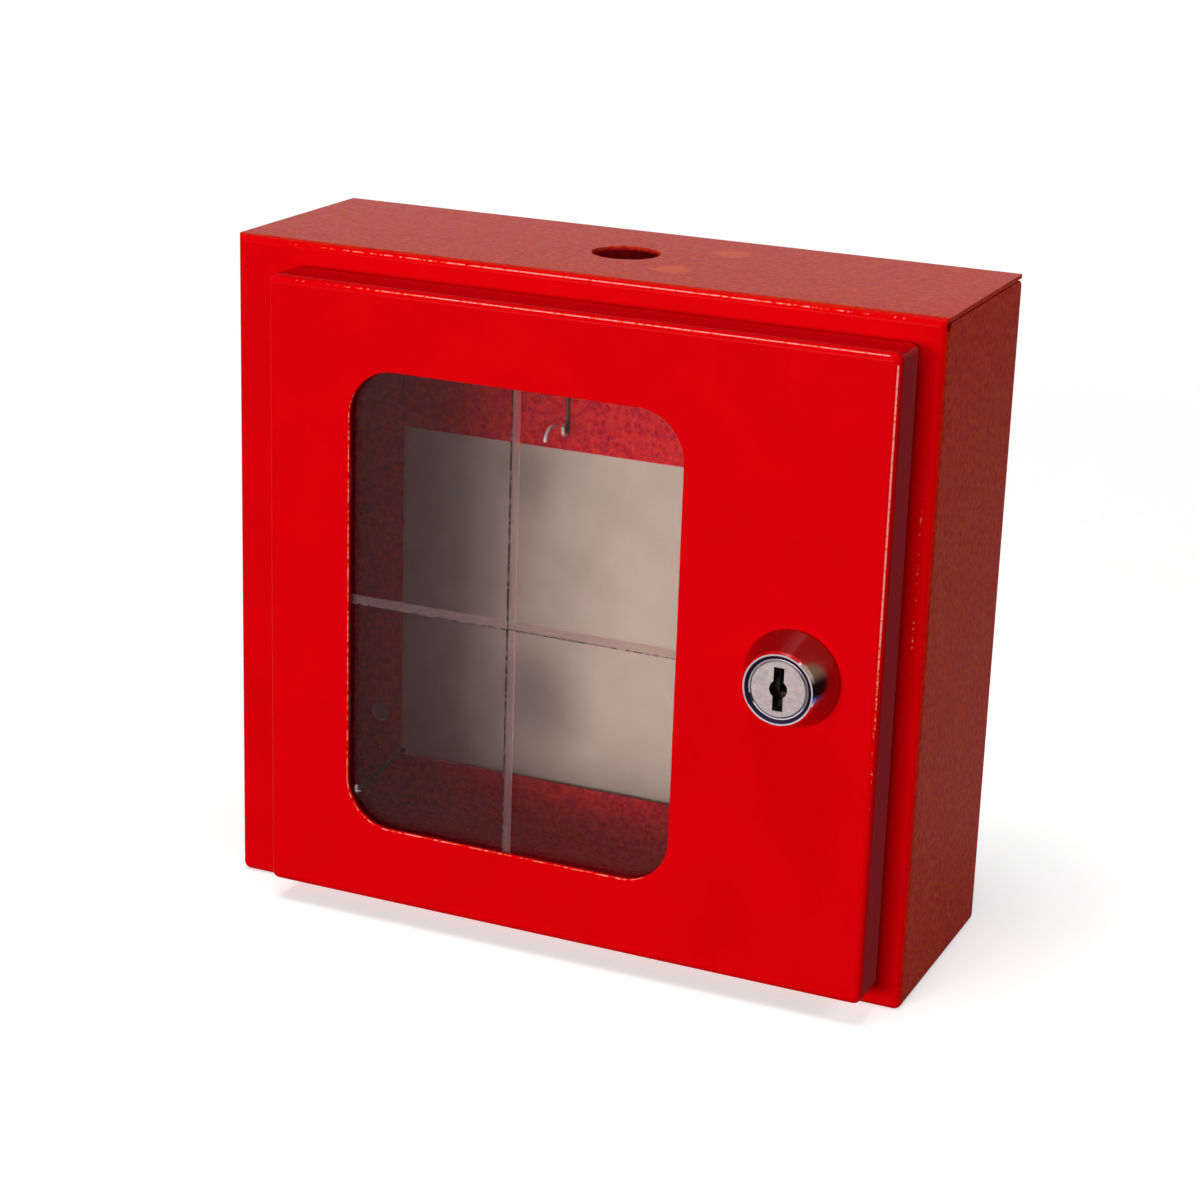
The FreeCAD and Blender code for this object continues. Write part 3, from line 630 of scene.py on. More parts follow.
class Finishes:
    """Every finish of the box, made once."""

    def __init__(self) -> None:
        """Build the materials."""
        # The cabinet's top bend carries a painted highlight line, its right flange a painted reflection line, and its
        # top two faint orange patches.
        self.cabinet_coat = PowderCoat(
            "Powder coat, signal red, cabinet", "cabinet_wrap",
            worn=(HighlightLine(Side.TOP, 0.9, 5.0, 30.0, 90.0), HighlightLine(Side.RIGHT, 3.6, 30.0, 20.0, 60.0, -0.12, 0.1, 0.3)),
            orange_patches_mm=((26.4, -21.0, 7.0), (20.5, -51.0, 6.5))).build()
        # The door's top and right bends carry painted highlight lines, its side returns a darker red as painted shade,
        # and the left and bottom rims of its cut-outs painted highlights.
        self.door_coat = PowderCoat(
            "Powder coat, signal red, door", "door_panel",
            worn=(HighlightLine(Side.TOP, 0.4, 40.0, 75.0, 60.0), HighlightLine(Side.RIGHT, 0.3, 60.0, 40.0, 70.0, width_mm=0.5)),
            outer=("#C4010C", "#D20109"), return_shade="#A8343B", rim_mm=0.45).build()
        self.rubber = Rubber().build()
        self.pane = ScoredPane().build()
        # Zinc plate, passivated clear: bluish white, slightly cloudy, with rolled grain under it.
        self.zinc = Metal("Zinc plate, clear passivated", "#C9CCCF", "#A9ABAD", 0.28, 0.16, (3.0, 3.0, 3.0), 0.004).build()
        # The pane's clips: zinc plate shown a dull brownish black as painted shade round the window's rim, with the
        # sheet's rolled grain under it.
        self.shade_black_zinc = Metal("Zinc plate, black as painted shade", "#3A3331", "#2A2423", 0.42, 0.14, (2.0, 2.0, 2.0), 0.004).build()
        # Bright chromium over polished zinc alloy: near mirror, a little violet, with painted reflection: dark violet
        # in the groove round the plug and a dimmer brown on the cone.
        self.chrome = Metal("Chromium plate, bright", "#EEE8F0", "#DAD3DE", 0.05, 0.06, (6.0, 6.0, 6.0),
                            tone_bands=(ToneBand("lock_housing", (8.55, 9.6), (-99.2, -94.0), "#231A2C"),
                                    ToneBand("lock_housing", (10.6, 14.2), (-98.4, -87.9), "#A08884", 0.16))).build()
        # Nickel, turned and satin: warm grey, matt, and dark brown over the plug's middle and keyway.
        self.nickel = Metal("Nickel plate, satin turned", "#9E9292", "#948888", 0.36, 0.1, (0.9, 0.9, 0.9), 0.003,
                            tone_bands=(ToneBand("lock_plug", (0.0, 6.3), (-98.2, -81.0), "#3A2E28"),)).build()
        # Steel wire, zinc: near white and only half metallic, so the prong shows bright as a painted highlight, and
        # dull brown on the stem behind as painted shade.
        self.wire = Metal("Steel wire, bright zinc", "#F6EAF0", "#DCCFD8", 0.25, 0.1, (1.5, 1.5, 4.0), metallic=0.4,
                          tone_bands=(ToneBand("key_hook", (0.0, 60.0), (-2.7, 1.0), "#4A2E2C"),)).build()
        # Brass tumblers: a dark olive brown.
        self.brass = Metal("Brass, dulled", "#5A4A2C", "#3A2E1C", 0.4, 0.14, (1.2, 1.2, 1.2), 0.004).build()

    def dress(self) -> None:
        """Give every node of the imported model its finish."""
        by_slot = {"gasket_rubber": self.rubber, "clear_pane": self.pane,
                   "zinc_steel": self.zinc, "chrome": self.chrome, "nickel": self.nickel}
        special = {"key_hook": self.wire, "hook_rivet": self.wire}
        # The pane's clips take the black, as painted shade round the window's rim.
        special |= {name: self.shade_black_zinc for name in frame["nodes"] if name.startswith("pane_clip")}
        on_door = frame["record"]["behaviour"]["bodies"][Body.DOOR.value]
        for part in frame["record"]["subparts"]:
            name, slot = part["node"], part["material_slot"]
            if slot == "red_paint":
                material = self.door_coat if name in on_door else self.cabinet_coat
            else:
                material = special.get(name, by_slot[slot])
            mesh = frame["nodes"][name].data
            mesh.materials.clear()
            mesh.materials.append(material)
            LOG.info("%s: %s", name, material.name)


class GrownPiece:
    """A piece that a Geometry Nodes tree grows from named sizes."""

    def __init__(self, name: str, material: bpy.types.Material) -> None:
        """Start the tree with its input and output.

        Args:
            name: The piece's name.
            material: The finish that the tree's last node sets.
        """
        self.name = name
        self.material = material
        self.values: dict[str, float] = {}
        self.tree = bpy.data.node_groups.new(name, "GeometryNodeTree")
        self.tree.interface.new_socket("Geometry", in_out="INPUT", socket_type="NodeSocketGeometry")
        self.tree.interface.new_socket("Geometry", in_out="OUTPUT", socket_type="NodeSocketGeometry")
        self.entry = add(self.tree, "NodeGroupInput")

    def size(self, name: str, value: float) -> Socket:
        """Add a named input.

        Args:
            name: The input's name.
            value: Its value, in metres or as a plain number.

        Returns:
            The socket that gives the value inside the tree.
        """
        kind = "NodeSocketInt" if isinstance(value, int) else "NodeSocketFloat"
        socket = self.tree.interface.new_socket(name, in_out="INPUT", socket_type=kind)
        self.values[socket.identifier] = value
        return self.entry.outputs[name]

    def thread(self, radius: float, length: float, pitch: float, ridge: float) -> Socket:
        """Wind a screw thread's ridge along +Y from the origin.

        Args:
            radius: The core's radius.
            length: How far the thread runs.
            pitch: The advance of a turn.
            ridge: The ridge's height over the core.

        Returns:
            The ridge as a mesh.
        """
        tree = self.tree
        core, run = self.size("Radius", radius), self.size("Length", length)
        turns = add(tree, "ShaderNodeMath", {"operation": "DIVIDE"}, {0: run, 1: self.size("Pitch", pitch)})
        spiral = add(tree, "GeometryNodeCurveSpiral", inputs={
            "Resolution": 28, "Rotations": turns.outputs[0], "Start Radius": core, "End Radius": core, "Height": run})
        section = add(tree, "GeometryNodeCurvePrimitiveCircle",
                      inputs={"Resolution": 4, "Radius": self.size("Ridge", ridge)})
        swept = add(tree, "GeometryNodeCurveToMesh", inputs={
            "Curve": spiral.outputs[0], "Profile Curve": section.outputs[0], "Fill Caps": True})
        return add(tree, "GeometryNodeTransform", inputs={
            "Geometry": swept.outputs[0], "Rotation": (math.radians(-90.0), 0.0, 0.0)}).outputs[0]

    def finish(self, geometry: Socket, place: Vector, body: Body) -> bpy.types.Object:
        """Close the tree, evaluate it and keep its result as a plain mesh.

        Args:
            geometry: The geometry to show.
            place: Where the geometry's origin goes.
            body: The body that carries the piece.

        Returns:
            The finished piece.
        """
        moved = add(self.tree, "GeometryNodeTransform", inputs={"Geometry": geometry, "Translation": place})
        real = add(self.tree, "GeometryNodeRealizeInstances", inputs={"Geometry": moved.outputs[0]})
        shown = add(self.tree, "GeometryNodeSetMaterial", inputs={"Geometry": real.outputs[0], "Material": self.material})
        add(self.tree, "NodeGroupOutput", inputs={"Geometry": shown.outputs[0]})
        piece = bpy.data.objects.new(self.name, bpy.data.meshes.new(self.name + "_seed"))
        bpy.context.scene.collection.objects.link(piece)
        modifier = piece.modifiers.new("grow", "NODES")
        modifier.node_group = self.tree
        for identifier, value in self.values.items():
            modifier[identifier] = value
        graph = bpy.context.evaluated_depsgraph_get()
        mesh = bpy.data.meshes.new_from_object(piece.evaluated_get(graph))
        piece.modifiers.remove(modifier)
        piece.data = mesh
        mesh.name = self.name
        weld(mesh)
        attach(piece, body.value)
        LOG.info("%s: %d faces", self.name, len(mesh.polygons))
        return piece


@dataclass
class CamLock:
    """The cam lock's fine pieces: barrel thread, tumblers and the cross in its screw."""

    finishes: Finishes
    barrel_mm: float = 9.5
    half_flats_mm: float = 8.05
    pitch_mm: float = 1.0
    ridge_mm: float = 0.28
    tumblers: int = 6
    tumbler_pitch_mm: float = 1.8
    tumbler_first_mm: float = 5.9
    tumbler_mm: tuple[float, float, float] = (2.7, 0.9, 3.0)
    tumbler_lift_mm: tuple[float, float] = (3.3, 4.1)
    cross_mm: float = 4.6
    cross_width_mm: float = 0.8
    cross_depth_mm: float = 1.3
    cross_taper: float = 0.35

    def wind_thread(self) -> None:
        """Wind the barrel's thread behind its nut; the ridges stop at the barrel's two flats."""
        low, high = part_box("lock_housing")
        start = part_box("lock_nut")[1].y
        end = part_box("stop_washer")[0].y
        grown = GrownPiece("barrel_thread", self.finishes.chrome)
        tree = grown.tree
        ridge = grown.thread(self.barrel_mm * MM, end - start - self.pitch_mm * MM, self.pitch_mm * MM, self.ridge_mm * MM)
        flat = grown.size("Half across flats", self.half_flats_mm * MM)
        under = add(tree, "ShaderNodeMath", {"operation": "MULTIPLY"}, {0: flat, 1: -1.0})
        place = add(tree, "GeometryNodeInputPosition")
        parts = add(tree, "ShaderNodeSeparateXYZ", inputs={0: place.outputs[0]})
        held = add(tree, "ShaderNodeClamp", inputs={"Value": parts.outputs["Z"], "Min": under.outputs[0], "Max": flat})
        joined = add(tree, "ShaderNodeCombineXYZ", inputs={
            "X": parts.outputs["X"], "Y": parts.outputs["Y"], "Z": held.outputs[0]})
        clamped = add(tree, "GeometryNodeSetPosition", inputs={"Geometry": ridge, "Position": joined.outputs[0]})
        centre = Vector(((low.x + high.x) / 2, start + self.ridge_mm * MM, (low.z + high.z) / 2))
        grown.finish(clamped.outputs[0], centre, Body.DOOR)

    def fill_keyway(self) -> None:
        """Set the tumblers in the keyway, standing in from above and below by turns."""
        low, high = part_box("lock_plug")
        grown = GrownPiece("keyway_tumblers", self.finishes.brass)
        tree = grown.tree
        width, thickness, height = (grown.size(name, value * MM) for name, value in
                                    zip(("Width", "Thickness", "Height"), self.tumbler_mm))
        least, most = (grown.size(name, value * MM) for name, value in
                       zip(("Least lift", "Most lift"), self.tumbler_lift_mm))
        step = add(tree, "ShaderNodeCombineXYZ", inputs={"Y": grown.size("Pitch", self.tumbler_pitch_mm * MM)})
        row = add(tree, "GeometryNodeMeshLine", {"mode": "OFFSET"},
                  {"Count": grown.size("Count", self.tumblers), "Offset": step.outputs[0]})
        index = add(tree, "GeometryNodeInputIndex")
        turn = add(tree, "ShaderNodeMath", {"operation": "MODULO"}, {0: index.outputs[0], 1: 2.0})
        side = add(tree, "ShaderNodeMath", {"operation": "MULTIPLY_ADD"}, {0: turn.outputs[0], 1: 2.0, 2: -1.0})
        reach = add(tree, "FunctionNodeRandomValue", {"data_type": "FLOAT"},
                    {2: least, 3: most, "Seed": grown.size("Seed", 4), "ID": index.outputs[0]})
        lift = add(tree, "ShaderNodeMath", {"operation": "MULTIPLY"}, {0: side.outputs[0], 1: reach.outputs[1]})
        offset = add(tree, "ShaderNodeCombineXYZ", inputs={"Z": lift.outputs[0]})
        spread = add(tree, "GeometryNodeSetPosition", inputs={"Geometry": row.outputs[0], "Offset": offset.outputs[0]})
        size = add(tree, "ShaderNodeCombineXYZ", inputs={"X": width, "Y": thickness, "Z": height})
        plate = add(tree, "GeometryNodeMeshCube", inputs={"Size": size.outputs[0]})
        placed = add(tree, "GeometryNodeInstanceOnPoints", inputs={"Points": spread.outputs[0], "Instance": plate.outputs[0]})
        first = Vector(((low.x + high.x) / 2, low.y + self.tumbler_first_mm * MM, 0.0))
        grown.finish(placed.outputs[0], first, Body.PLUG)

    def cut_cross(self) -> None:
        """Cut a tapered cross recess into a copy of the cam's screw."""
        low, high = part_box("cam_screw")
        centre = Vector(((low.x + high.x) / 2, high.y, (low.z + high.z) / 2))
        piece = bpy.data.objects.new("cam_screw_cross", frame["nodes"]["cam_screw"].data.copy())
        bpy.context.scene.collection.objects.link(piece)
        weld(piece.data)
        shape = bmesh.new()
        for wide, tall in ((self.cross_mm, self.cross_width_mm), (self.cross_width_mm, self.cross_mm)):
            for vert in bmesh.ops.create_cube(shape, size=1.0)["verts"]:
                inner = self.cross_taper if vert.co.y < 0 else 1.0
                across = Vector((wide * inner, 2 * self.cross_depth_mm, tall * inner)) * MM
                vert.co = centre + Vector(part * size for part, size in zip(vert.co, across))
        mesh = bpy.data.meshes.new("cross_cutter")
        shape.to_mesh(mesh)
        shape.free()
        cutter = bpy.data.objects.new("cross_cutter", mesh)
        bpy.context.scene.collection.objects.link(cutter)
        cut = piece.modifiers.new("cross", "BOOLEAN")
        cut.operation = "DIFFERENCE"
        cut.solver = "EXACT"
        cut.use_self = True
        cut.object = cutter
        graph = bpy.context.evaluated_depsgraph_get()
        result = bpy.data.meshes.new_from_object(piece.evaluated_get(graph))
        piece.modifiers.remove(cut)
        piece.data = result
        bpy.data.objects.remove(cutter)
        result.materials.clear()
        result.materials.append(self.finishes.zinc)
        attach(piece, Body.PLUG.value)
        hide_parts("cam_screw")
        LOG.info("cam_screw_cross: %d faces", len(result.polygons))

    def build(self) -> None:
        """Make every piece of the lock."""
        self.wind_thread()
        self.fill_keyway()
        self.cut_cross()


@dataclass
class PaneMounting:
    """The threads on the four studs that hold the pane's clips."""

    finishes: Finishes
    stud_mm: float = 2.0
    pitch_mm: float = 0.7
    ridge_mm: float = 0.16
    bare_mm: float = 1.0

    def build(self) -> None:
        """Wind one thread and set it on each stud."""
        low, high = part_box("pane_studs")
        core = self.stud_mm * MM
        bare = self.bare_mm * MM
        grown = GrownPiece("stud_threads", self.finishes.zinc)
        tree = grown.tree
        ridge = grown.thread(core, high.y - low.y - 2 * bare, self.pitch_mm * MM, self.ridge_mm * MM)
        grid = add(tree, "GeometryNodeMeshGrid", inputs={
            "Size X": grown.size("Across", high.x - low.x - 2 * core), "Size Y": grown.size("Up", high.z - low.z - 2 * core),
            "Vertices X": 2, "Vertices Y": 2})
        stood = add(tree, "GeometryNodeTransform", inputs={
            "Geometry": grid.outputs[0], "Rotation": (math.radians(90.0), 0.0, 0.0)})
        placed = add(tree, "GeometryNodeInstanceOnPoints", inputs={"Points": stood.outputs[0], "Instance": ridge})
        centre = Vector(((low.x + high.x) / 2, low.y + bare, (low.z + high.z) / 2))
        grown.finish(placed.outputs[0], centre, Body.DOOR)


@dataclass
class SpotWelds:
    """The rings that the welding electrodes leave on the hinges' feet and leaves, under the paint."""

    finishes: Finishes
    ring_mm: float = 2.0
    lip_mm: float = 0.45
    sunk: float = 0.45
    pitch_mm: float = 16.0
    foot_inset_mm: float = 7.0
    leaf_inset_mm: float = 3.4
    leaf_sheet_mm: float = 1.5

    def mark(self, name: str, centre: Vector, turn: tuple[float, float, float], body: Body) -> None:
        """Set two rings above each other.

        Args:
            name: The piece's name.
            centre: The pair's middle, on the sheet's face.
            turn: Rotation in radians that brings +Z to the face's normal.
            body: The body that carries the sheet.
        """
        coat = self.finishes.cabinet_coat if body is Body.CABINET else self.finishes.door_coat
        grown = GrownPiece(name, coat)
        tree = grown.tree
        path = add(tree, "GeometryNodeCurvePrimitiveCircle",
                   inputs={"Resolution": 28, "Radius": grown.size("Ring", self.ring_mm * MM)})
        section = add(tree, "GeometryNodeCurvePrimitiveCircle",
                      inputs={"Resolution": 10, "Radius": grown.size("Lip", self.lip_mm * MM)})
        ring = add(tree, "GeometryNodeCurveToMesh", inputs={"Curve": path.outputs[0], "Profile Curve": section.outputs[0]})
        sunk = add(tree, "ShaderNodeCombineXYZ", inputs={"X": 1.0, "Y": 1.0, "Z": grown.size("Sunk", self.sunk)})
        flat = add(tree, "GeometryNodeTransform", inputs={
            "Geometry": ring.outputs[0], "Scale": sunk.outputs[0], "Rotation": turn})
        step = add(tree, "ShaderNodeCombineXYZ", inputs={"Z": grown.size("Pitch", self.pitch_mm * MM)})
        pair = add(tree, "GeometryNodeMeshLine", {"mode": "OFFSET"}, {"Count": 2, "Offset": step.outputs[0]})
        placed = add(tree, "GeometryNodeInstanceOnPoints", inputs={"Points": pair.outputs[0], "Instance": flat.outputs[0]})
        lowest = centre - Vector((0.0, 0.0, self.pitch_mm * MM / 2))
        grown.finish(placed.outputs[0], lowest, body)

    def build(self) -> None:
        """Mark the foot and the leaf of both hinges."""
        for level in ("upper", "lower"):
            low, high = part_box("hinge_arm_" + level)
            foot = Vector((low.x + self.foot_inset_mm * MM, high.y, (low.z + high.z) / 2))
            self.mark("foot_welds_" + level, foot, (math.radians(-90.0), 0.0, 0.0), Body.CABINET)
            low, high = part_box("hinge_leaf_" + level)
            leaf = Vector((low.x + self.leaf_sheet_mm * MM, high.y - self.leaf_inset_mm * MM, (low.z + high.z) / 2))
            self.mark("leaf_welds_" + level, leaf, (0.0, math.radians(90.0), 0.0), Body.DOOR)


@dataclass
class Studio:
    """Floor, wall card, lamps and camera."""

    azimuth: float = 23.464
    elevation: float = 18.067
    roll: float = 1.908
    distance: float = 0.80205
    lens: float = 84.671
    target: tuple[float, float, float] = (0.01109, -0.072, 0.00731)
    floor_z: float = -0.1
    floor_reach: float = 6.0
    shade_near: float = 0.25
    shade_far: float = 0.8
    card_gap: float = 0.003
    opening: tuple[float, float] = (0.0895, -0.082)
    # Painted shadows on the wall card: x, z, radius and darkest share.
    painted_shadows: tuple[tuple[float, float, float, float], ...] = (
        (-0.044, -0.055, 0.026, 0.55), (-0.048, 0.017, 0.018, 0.7))
    flag_ends: tuple[tuple[float, float], ...] = ((0.7, -1.2), (1.3, -0.2), (-0.1, 1.0))
    board_x: float = 0.21
    board_ends: tuple[tuple[float, float], ...] = ((-0.09, 0.12), (-0.1, 0.2))

    def make_camera(self) -> None:
        """Place the camera at the photograph's viewpoint."""
        azimuth, elevation, roll = (math.radians(value) for value in (self.azimuth, self.elevation, self.roll))
        back = Vector((math.sin(azimuth) * math.cos(elevation), -math.cos(azimuth) * math.cos(elevation),
                       math.sin(elevation)))
        right = Vector((math.cos(azimuth), math.sin(azimuth), 0.0))
        up = back.cross(right)
        across = right * math.cos(roll) + up * math.sin(roll)
        upward = up * math.cos(roll) - right * math.sin(roll)
        camera = bpy.data.objects.new("camera", bpy.data.cameras.new("camera"))
        bpy.context.scene.collection.objects.link(camera)
        camera.data.sensor_width = 36.0
        camera.data.lens = self.lens
        camera.data.clip_start = 0.01
        camera.data.clip_end = 50.0
        turn = Matrix((across, upward, back)).transposed().to_4x4()
        turn.translation = Vector(self.target) + back * self.distance
        camera.matrix_world = turn
        bpy.context.scene.camera = camera

    def stand(self, name: str, corners: list[tuple[float, float, float]], title: str) -> bpy.types.NodeTree:
        """Add a flat sheet to the studio and start its material.

        Args:
            name: The sheet's name.
            corners: Its four corners.
            title: The material's name.

        Returns:
            The material's tree, with only its output in it.
        """
        mesh = bpy.data.meshes.new(name)
        mesh.from_pydata(corners, [], [(0, 1, 2, 3)])
        sheet = bpy.data.objects.new(name, mesh)
        bpy.context.scene.collection.objects.link(sheet)
        material = bpy.data.materials.new(title)
        material.use_nodes = True
        tree = material.node_tree
        tree.nodes.remove(tree.nodes["Principled BSDF"])
        mesh.materials.append(material)
        return tree

    def make_floor(self) -> None:
        """Lay the table: white paper that keeps the box's shadow and fades to plain white away from it."""
        reach, level = self.floor_reach, self.floor_z
        corners = [(-reach, -reach, level), (reach, -reach, level), (reach, reach, level), (-reach, reach, level)]
        tree = self.stand("floor", corners, "Studio table, white paper")
        path = add(tree, "ShaderNodeLightPath")
        dim = add(tree, "ShaderNodeBsdfDiffuse", inputs={"Color": linear("#8F857C")})
        paper = add(tree, "ShaderNodeBsdfDiffuse", inputs={"Color": linear("#F2F2F2")})
        glow = add(tree, "ShaderNodeEmission", inputs={"Color": WHITE, "Strength": 0.55})
        lit = add(tree, "ShaderNodeAddShader", inputs={0: paper.outputs[0], 1: glow.outputs[0]})
        place = add(tree, "ShaderNodeTexCoord")
        away = add(tree, "ShaderNodeVectorMath", {"operation": "LENGTH"}, {0: place.outputs["Object"]})
        far = add(tree, "ShaderNodeMapRange", inputs={
            "Value": away.outputs["Value"], "From Min": self.shade_near, "From Max": self.shade_far})
        plain = add(tree, "ShaderNodeEmission", inputs={"Color": WHITE, "Strength": 1.0})
        shown = add(tree, "ShaderNodeMixShader", inputs={0: far.outputs["Result"], 1: lit.outputs[0], 2: plain.outputs[0]})
        mirrored = add(tree, "ShaderNodeMath", {"operation": "MAXIMUM"},
                       {0: path.outputs["Is Glossy Ray"], 1: path.outputs["Is Transmission Ray"]})
        unseen = add(tree, "ShaderNodeMixShader", inputs={0: mirrored.outputs[0], 1: dim.outputs[0], 2: paper.outputs[0]})
        seen = add(tree, "ShaderNodeMixShader", inputs={
            0: path.outputs["Is Camera Ray"], 1: unseen.outputs[0], 2: shown.outputs[0]})
        tree.links.new(seen.outputs[0], tree.nodes["Material Output"].inputs["Surface"])

    def make_card(self) -> None:
        """Stand a beige card close behind the open back, as the wall there, with painted shadows on it and painted
        shade in its lower corners; it shows only through the pane.
        """
        low, high = (Vector(corner) for corner in CAD_BOX)
        y = high.y + self.card_gap
        corners = [(low.x, y, low.z), (high.x, y, low.z), (high.x, y, high.z), (low.x, y, high.z)]
        tree = self.stand("wall_card", corners, "Wall card, beige")
        path = add(tree, "ShaderNodeLightPath")
        place = add(tree, "ShaderNodeTexCoord")
        cloud = add(tree, "ShaderNodeTexNoise", inputs={
            "Vector": place.outputs["Object"], "Scale": 1 / (14.0 * MM), "Detail": 4.0})
        tone = add(tree, "ShaderNodeValToRGB", {"stops": [(0.3, linear("#AB9A93")), (0.7, linear("#B6A59E"))]},
                   {"Fac": cloud.outputs["Fac"]}).outputs["Color"]
        # Painted shadows: soft dark spots on the card.
        for x, z, radius, darkest in self.painted_shadows:
            away = add(tree, "ShaderNodeVectorMath", {"operation": "DISTANCE"}, {0: place.outputs["Object"], 1: (x, y, z)})
            soft = add(tree, "ShaderNodeMapRange", {"interpolation_type": "SMOOTHSTEP"}, {
                "Value": away.outputs["Value"], "From Min": 0.0, "From Max": radius, "To Min": darkest, "To Max": 1.0})
            tone = add(tree, "ShaderNodeMix", {"data_type": "RGBA", "blend_type": "MULTIPLY"},
                       {0: 1.0, 6: tone, 7: soft.outputs["Result"]}).outputs[2]
        # Painted shade: the card's lower corners, beyond the opening, are dark.
        axes = add(tree, "ShaderNodeSeparateXYZ", inputs={"Vector": place.outputs["Object"]})
        aside = add(tree, "ShaderNodeMath", {"operation": "ABSOLUTE"}, {0: axes.outputs["X"]})
        beyond = add(tree, "ShaderNodeMath", {"operation": "GREATER_THAN"}, {0: aside.outputs[0], 1: self.opening[0]})
        below = add(tree, "ShaderNodeMath", {"operation": "LESS_THAN"}, {0: axes.outputs["Z"], 1: self.opening[1]})
        corner = add(tree, "ShaderNodeMath", {"operation": "MULTIPLY"}, {0: beyond.outputs[0], 1: below.outputs[0]})
        tone = add(tree, "ShaderNodeMix", {"data_type": "RGBA"}, {0: corner.outputs[0], 6: tone, 7: linear("#5E3E3C")}).outputs[2]
        beige = add(tree, "ShaderNodeBsdfDiffuse", inputs={"Color": tone})
        clear = add(tree, "ShaderNodeBsdfTransparent", inputs={"Color": WHITE})
        seen = add(tree, "ShaderNodeMixShader", inputs={
            0: path.outputs["Is Transmission Ray"], 1: clear.outputs[0], 2: beige.outputs[0]})
        tree.links.new(seen.outputs[0], tree.nodes["Material Output"].inputs["Surface"])

    def make_flag(self) -> None:
        """Stand a dark flag at the right, as the room there; only what mirrors sees it, and the chrome needs it."""
        (x, near), (far_x, far), (bottom, top) = self.flag_ends
        corners = [(x, near, bottom), (far_x, far, bottom), (far_x, far, top), (x, near, top)]
        tree = self.stand("dark_flag", corners, "Flag cloth, dark violet")
        path = add(tree, "ShaderNodeLightPath")
        cloth = add(tree, "ShaderNodeBsdfDiffuse", inputs={"Color": linear("#2A2238")})
        clear = add(tree, "ShaderNodeBsdfTransparent", inputs={"Color": WHITE})
        seen = add(tree, "ShaderNodeMixShader", inputs={
            0: path.outputs["Is Glossy Ray"], 1: clear.outputs[0], 2: cloth.outputs[0]})
        tree.links.new(seen.outputs[0], tree.nodes["Material Output"].inputs["Surface"])

    def make_board(self) -> None:
        """Stand a board close at the right that only mirrors see: violet below, black, and beige above."""
        (near, far), (bottom, top) = self.board_ends
        corners = [(self.board_x, near, bottom), (self.board_x, far, bottom),
                   (self.board_x, far, top), (self.board_x, near, top)]
        tree = self.stand("room_board", corners, "Room board, painted in bands")
        path = add(tree, "ShaderNodeLightPath")
        place = add(tree, "ShaderNodeTexCoord")
        height = add(tree, "ShaderNodeSeparateXYZ", inputs={"Vector": place.outputs["Object"]})
        level = add(tree, "ShaderNodeMapRange", inputs={
            "Value": height.outputs["Z"], "From Min": bottom, "From Max": top})
        bands = add(tree, "ShaderNodeValToRGB", {"stops": [
            (0.05, linear("#7A74C4")), (0.14, linear("#140E14")), (0.36, linear("#181012")), (0.52, linear("#B4A48C"))]},
            {"Fac": level.outputs["Result"]})
        paint = add(tree, "ShaderNodeEmission", inputs={"Color": bands.outputs["Color"], "Strength": 1.0})
        clear = add(tree, "ShaderNodeBsdfTransparent", inputs={"Color": WHITE})
        seen = add(tree, "ShaderNodeMixShader", inputs={
            0: path.outputs["Is Glossy Ray"], 1: clear.outputs[0], 2: paint.outputs[0]})
        tree.links.new(seen.outputs[0], tree.nodes["Material Output"].inputs["Surface"])

    def make_world(self) -> None:
        """Surround the box with white, and with a softer plain light where it only fills the shadows."""
        world = bpy.data.worlds.new("studio")
        world.use_nodes = True
        tree = world.node_tree
        path = add(tree, "ShaderNodeLightPath")
        plain = add(tree, "ShaderNodeBackground", inputs={"Color": (1.0, 0.98, 0.96, 1.0), "Strength": 0.1})
        white = add(tree, "ShaderNodeBackground", inputs={"Color": WHITE, "Strength": 1.0})
        mirrored = add(tree, "ShaderNodeMath", {"operation": "MAXIMUM"},
                       {0: path.outputs["Is Glossy Ray"], 1: path.outputs["Is Transmission Ray"]})
        straight = add(tree, "ShaderNodeMath", {"operation": "MAXIMUM"},
                       {0: path.outputs["Is Camera Ray"], 1: mirrored.outputs[0]})
        seen = add(tree, "ShaderNodeMixShader", inputs={0: straight.outputs[0], 1: plain.outputs[0], 2: white.outputs[0]})
        tree.links.new(seen.outputs[0], tree.nodes["World Output"].inputs["Surface"])
        bpy.context.scene.world = world

    def make_lamp(self, name: str, azimuth: float, elevation: float, away: float, size: tuple[float, float],
                  power: float) -> None:
        """Hang a soft box lamp that faces the box.

        Args:
            name: The lamp's name.
            azimuth: Degrees round the box, 0 in front and 90 at its right.
            elevation: Degrees above the horizon.
            away: Distance in metres.
            size: Width and height in metres.
            power: Watts.
        """
        turn, lift = math.radians(azimuth), math.radians(elevation)
        way = Vector((math.sin(turn) * math.cos(lift), -math.cos(turn) * math.cos(lift), math.sin(lift)))
        data = bpy.data.lights.new(name, "AREA")
        data.shape = "RECTANGLE"
        data.size, data.size_y = size
        data.energy = power
        lamp = bpy.data.objects.new(name, data)
        lamp.location = way * away
        lamp.rotation_mode = "QUATERNION"
        lamp.rotation_quaternion = (-way).to_track_quat("-Z", "Y")
        bpy.context.scene.collection.objects.link(lamp)

    def build(self) -> None:
        """Set up the whole studio."""
        self.make_camera()
        self.make_floor()
        self.make_card()
        self.make_flag()
        self.make_board()
        self.make_world()
        self.make_lamp("key", -12.0, 6.0, 2.2, (1.25, 0.55), 35.0)
        self.make_lamp("top", -15.0, 75.0, 2.0, (0.8, 0.8), 15.5)
        self.make_lamp("side", 74.0, 30.0, 2.2, (0.8, 0.8), 9.5)
        bpy.context.scene.view_settings.view_transform = "Standard"


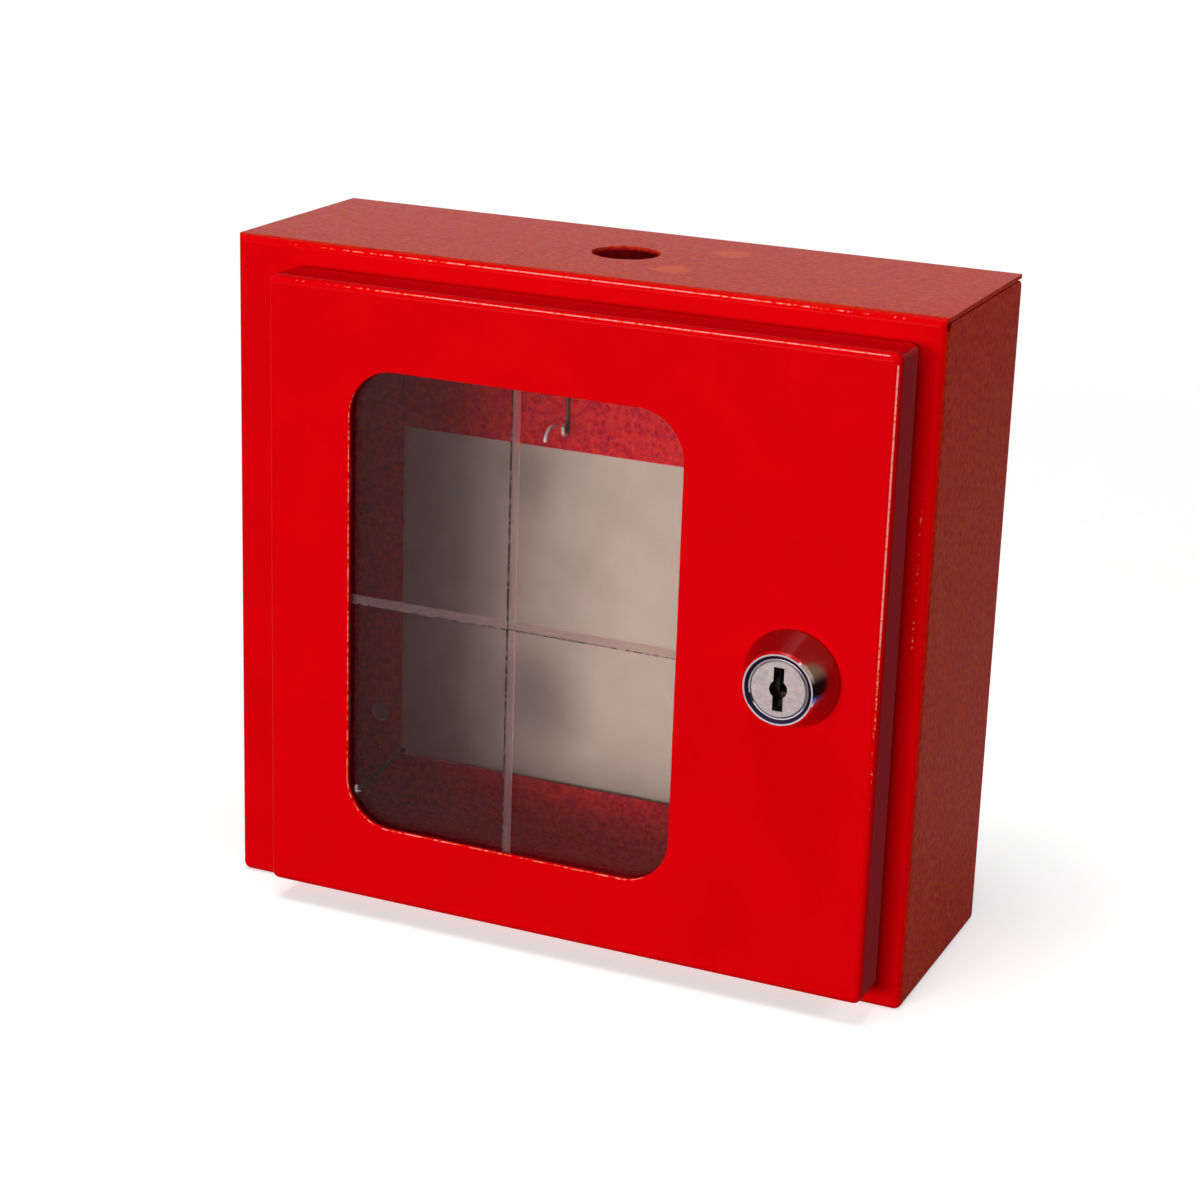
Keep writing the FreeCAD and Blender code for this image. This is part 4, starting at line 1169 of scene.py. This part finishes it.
def main() -> None:
    """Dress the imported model, add its fine pieces and light it."""
    logging.basicConfig(level=logging.INFO, format="%(name)s: %(message)s")
    Studio().build()
    finishes = Finishes()
    finishes.dress()
    for assembly in (CamLock(finishes), PaneMounting(finishes), SpotWelds(finishes)):
        assembly.build()
        LOG.info("built %s", type(assembly).__name__)


if __name__ == "__main__":
    main()
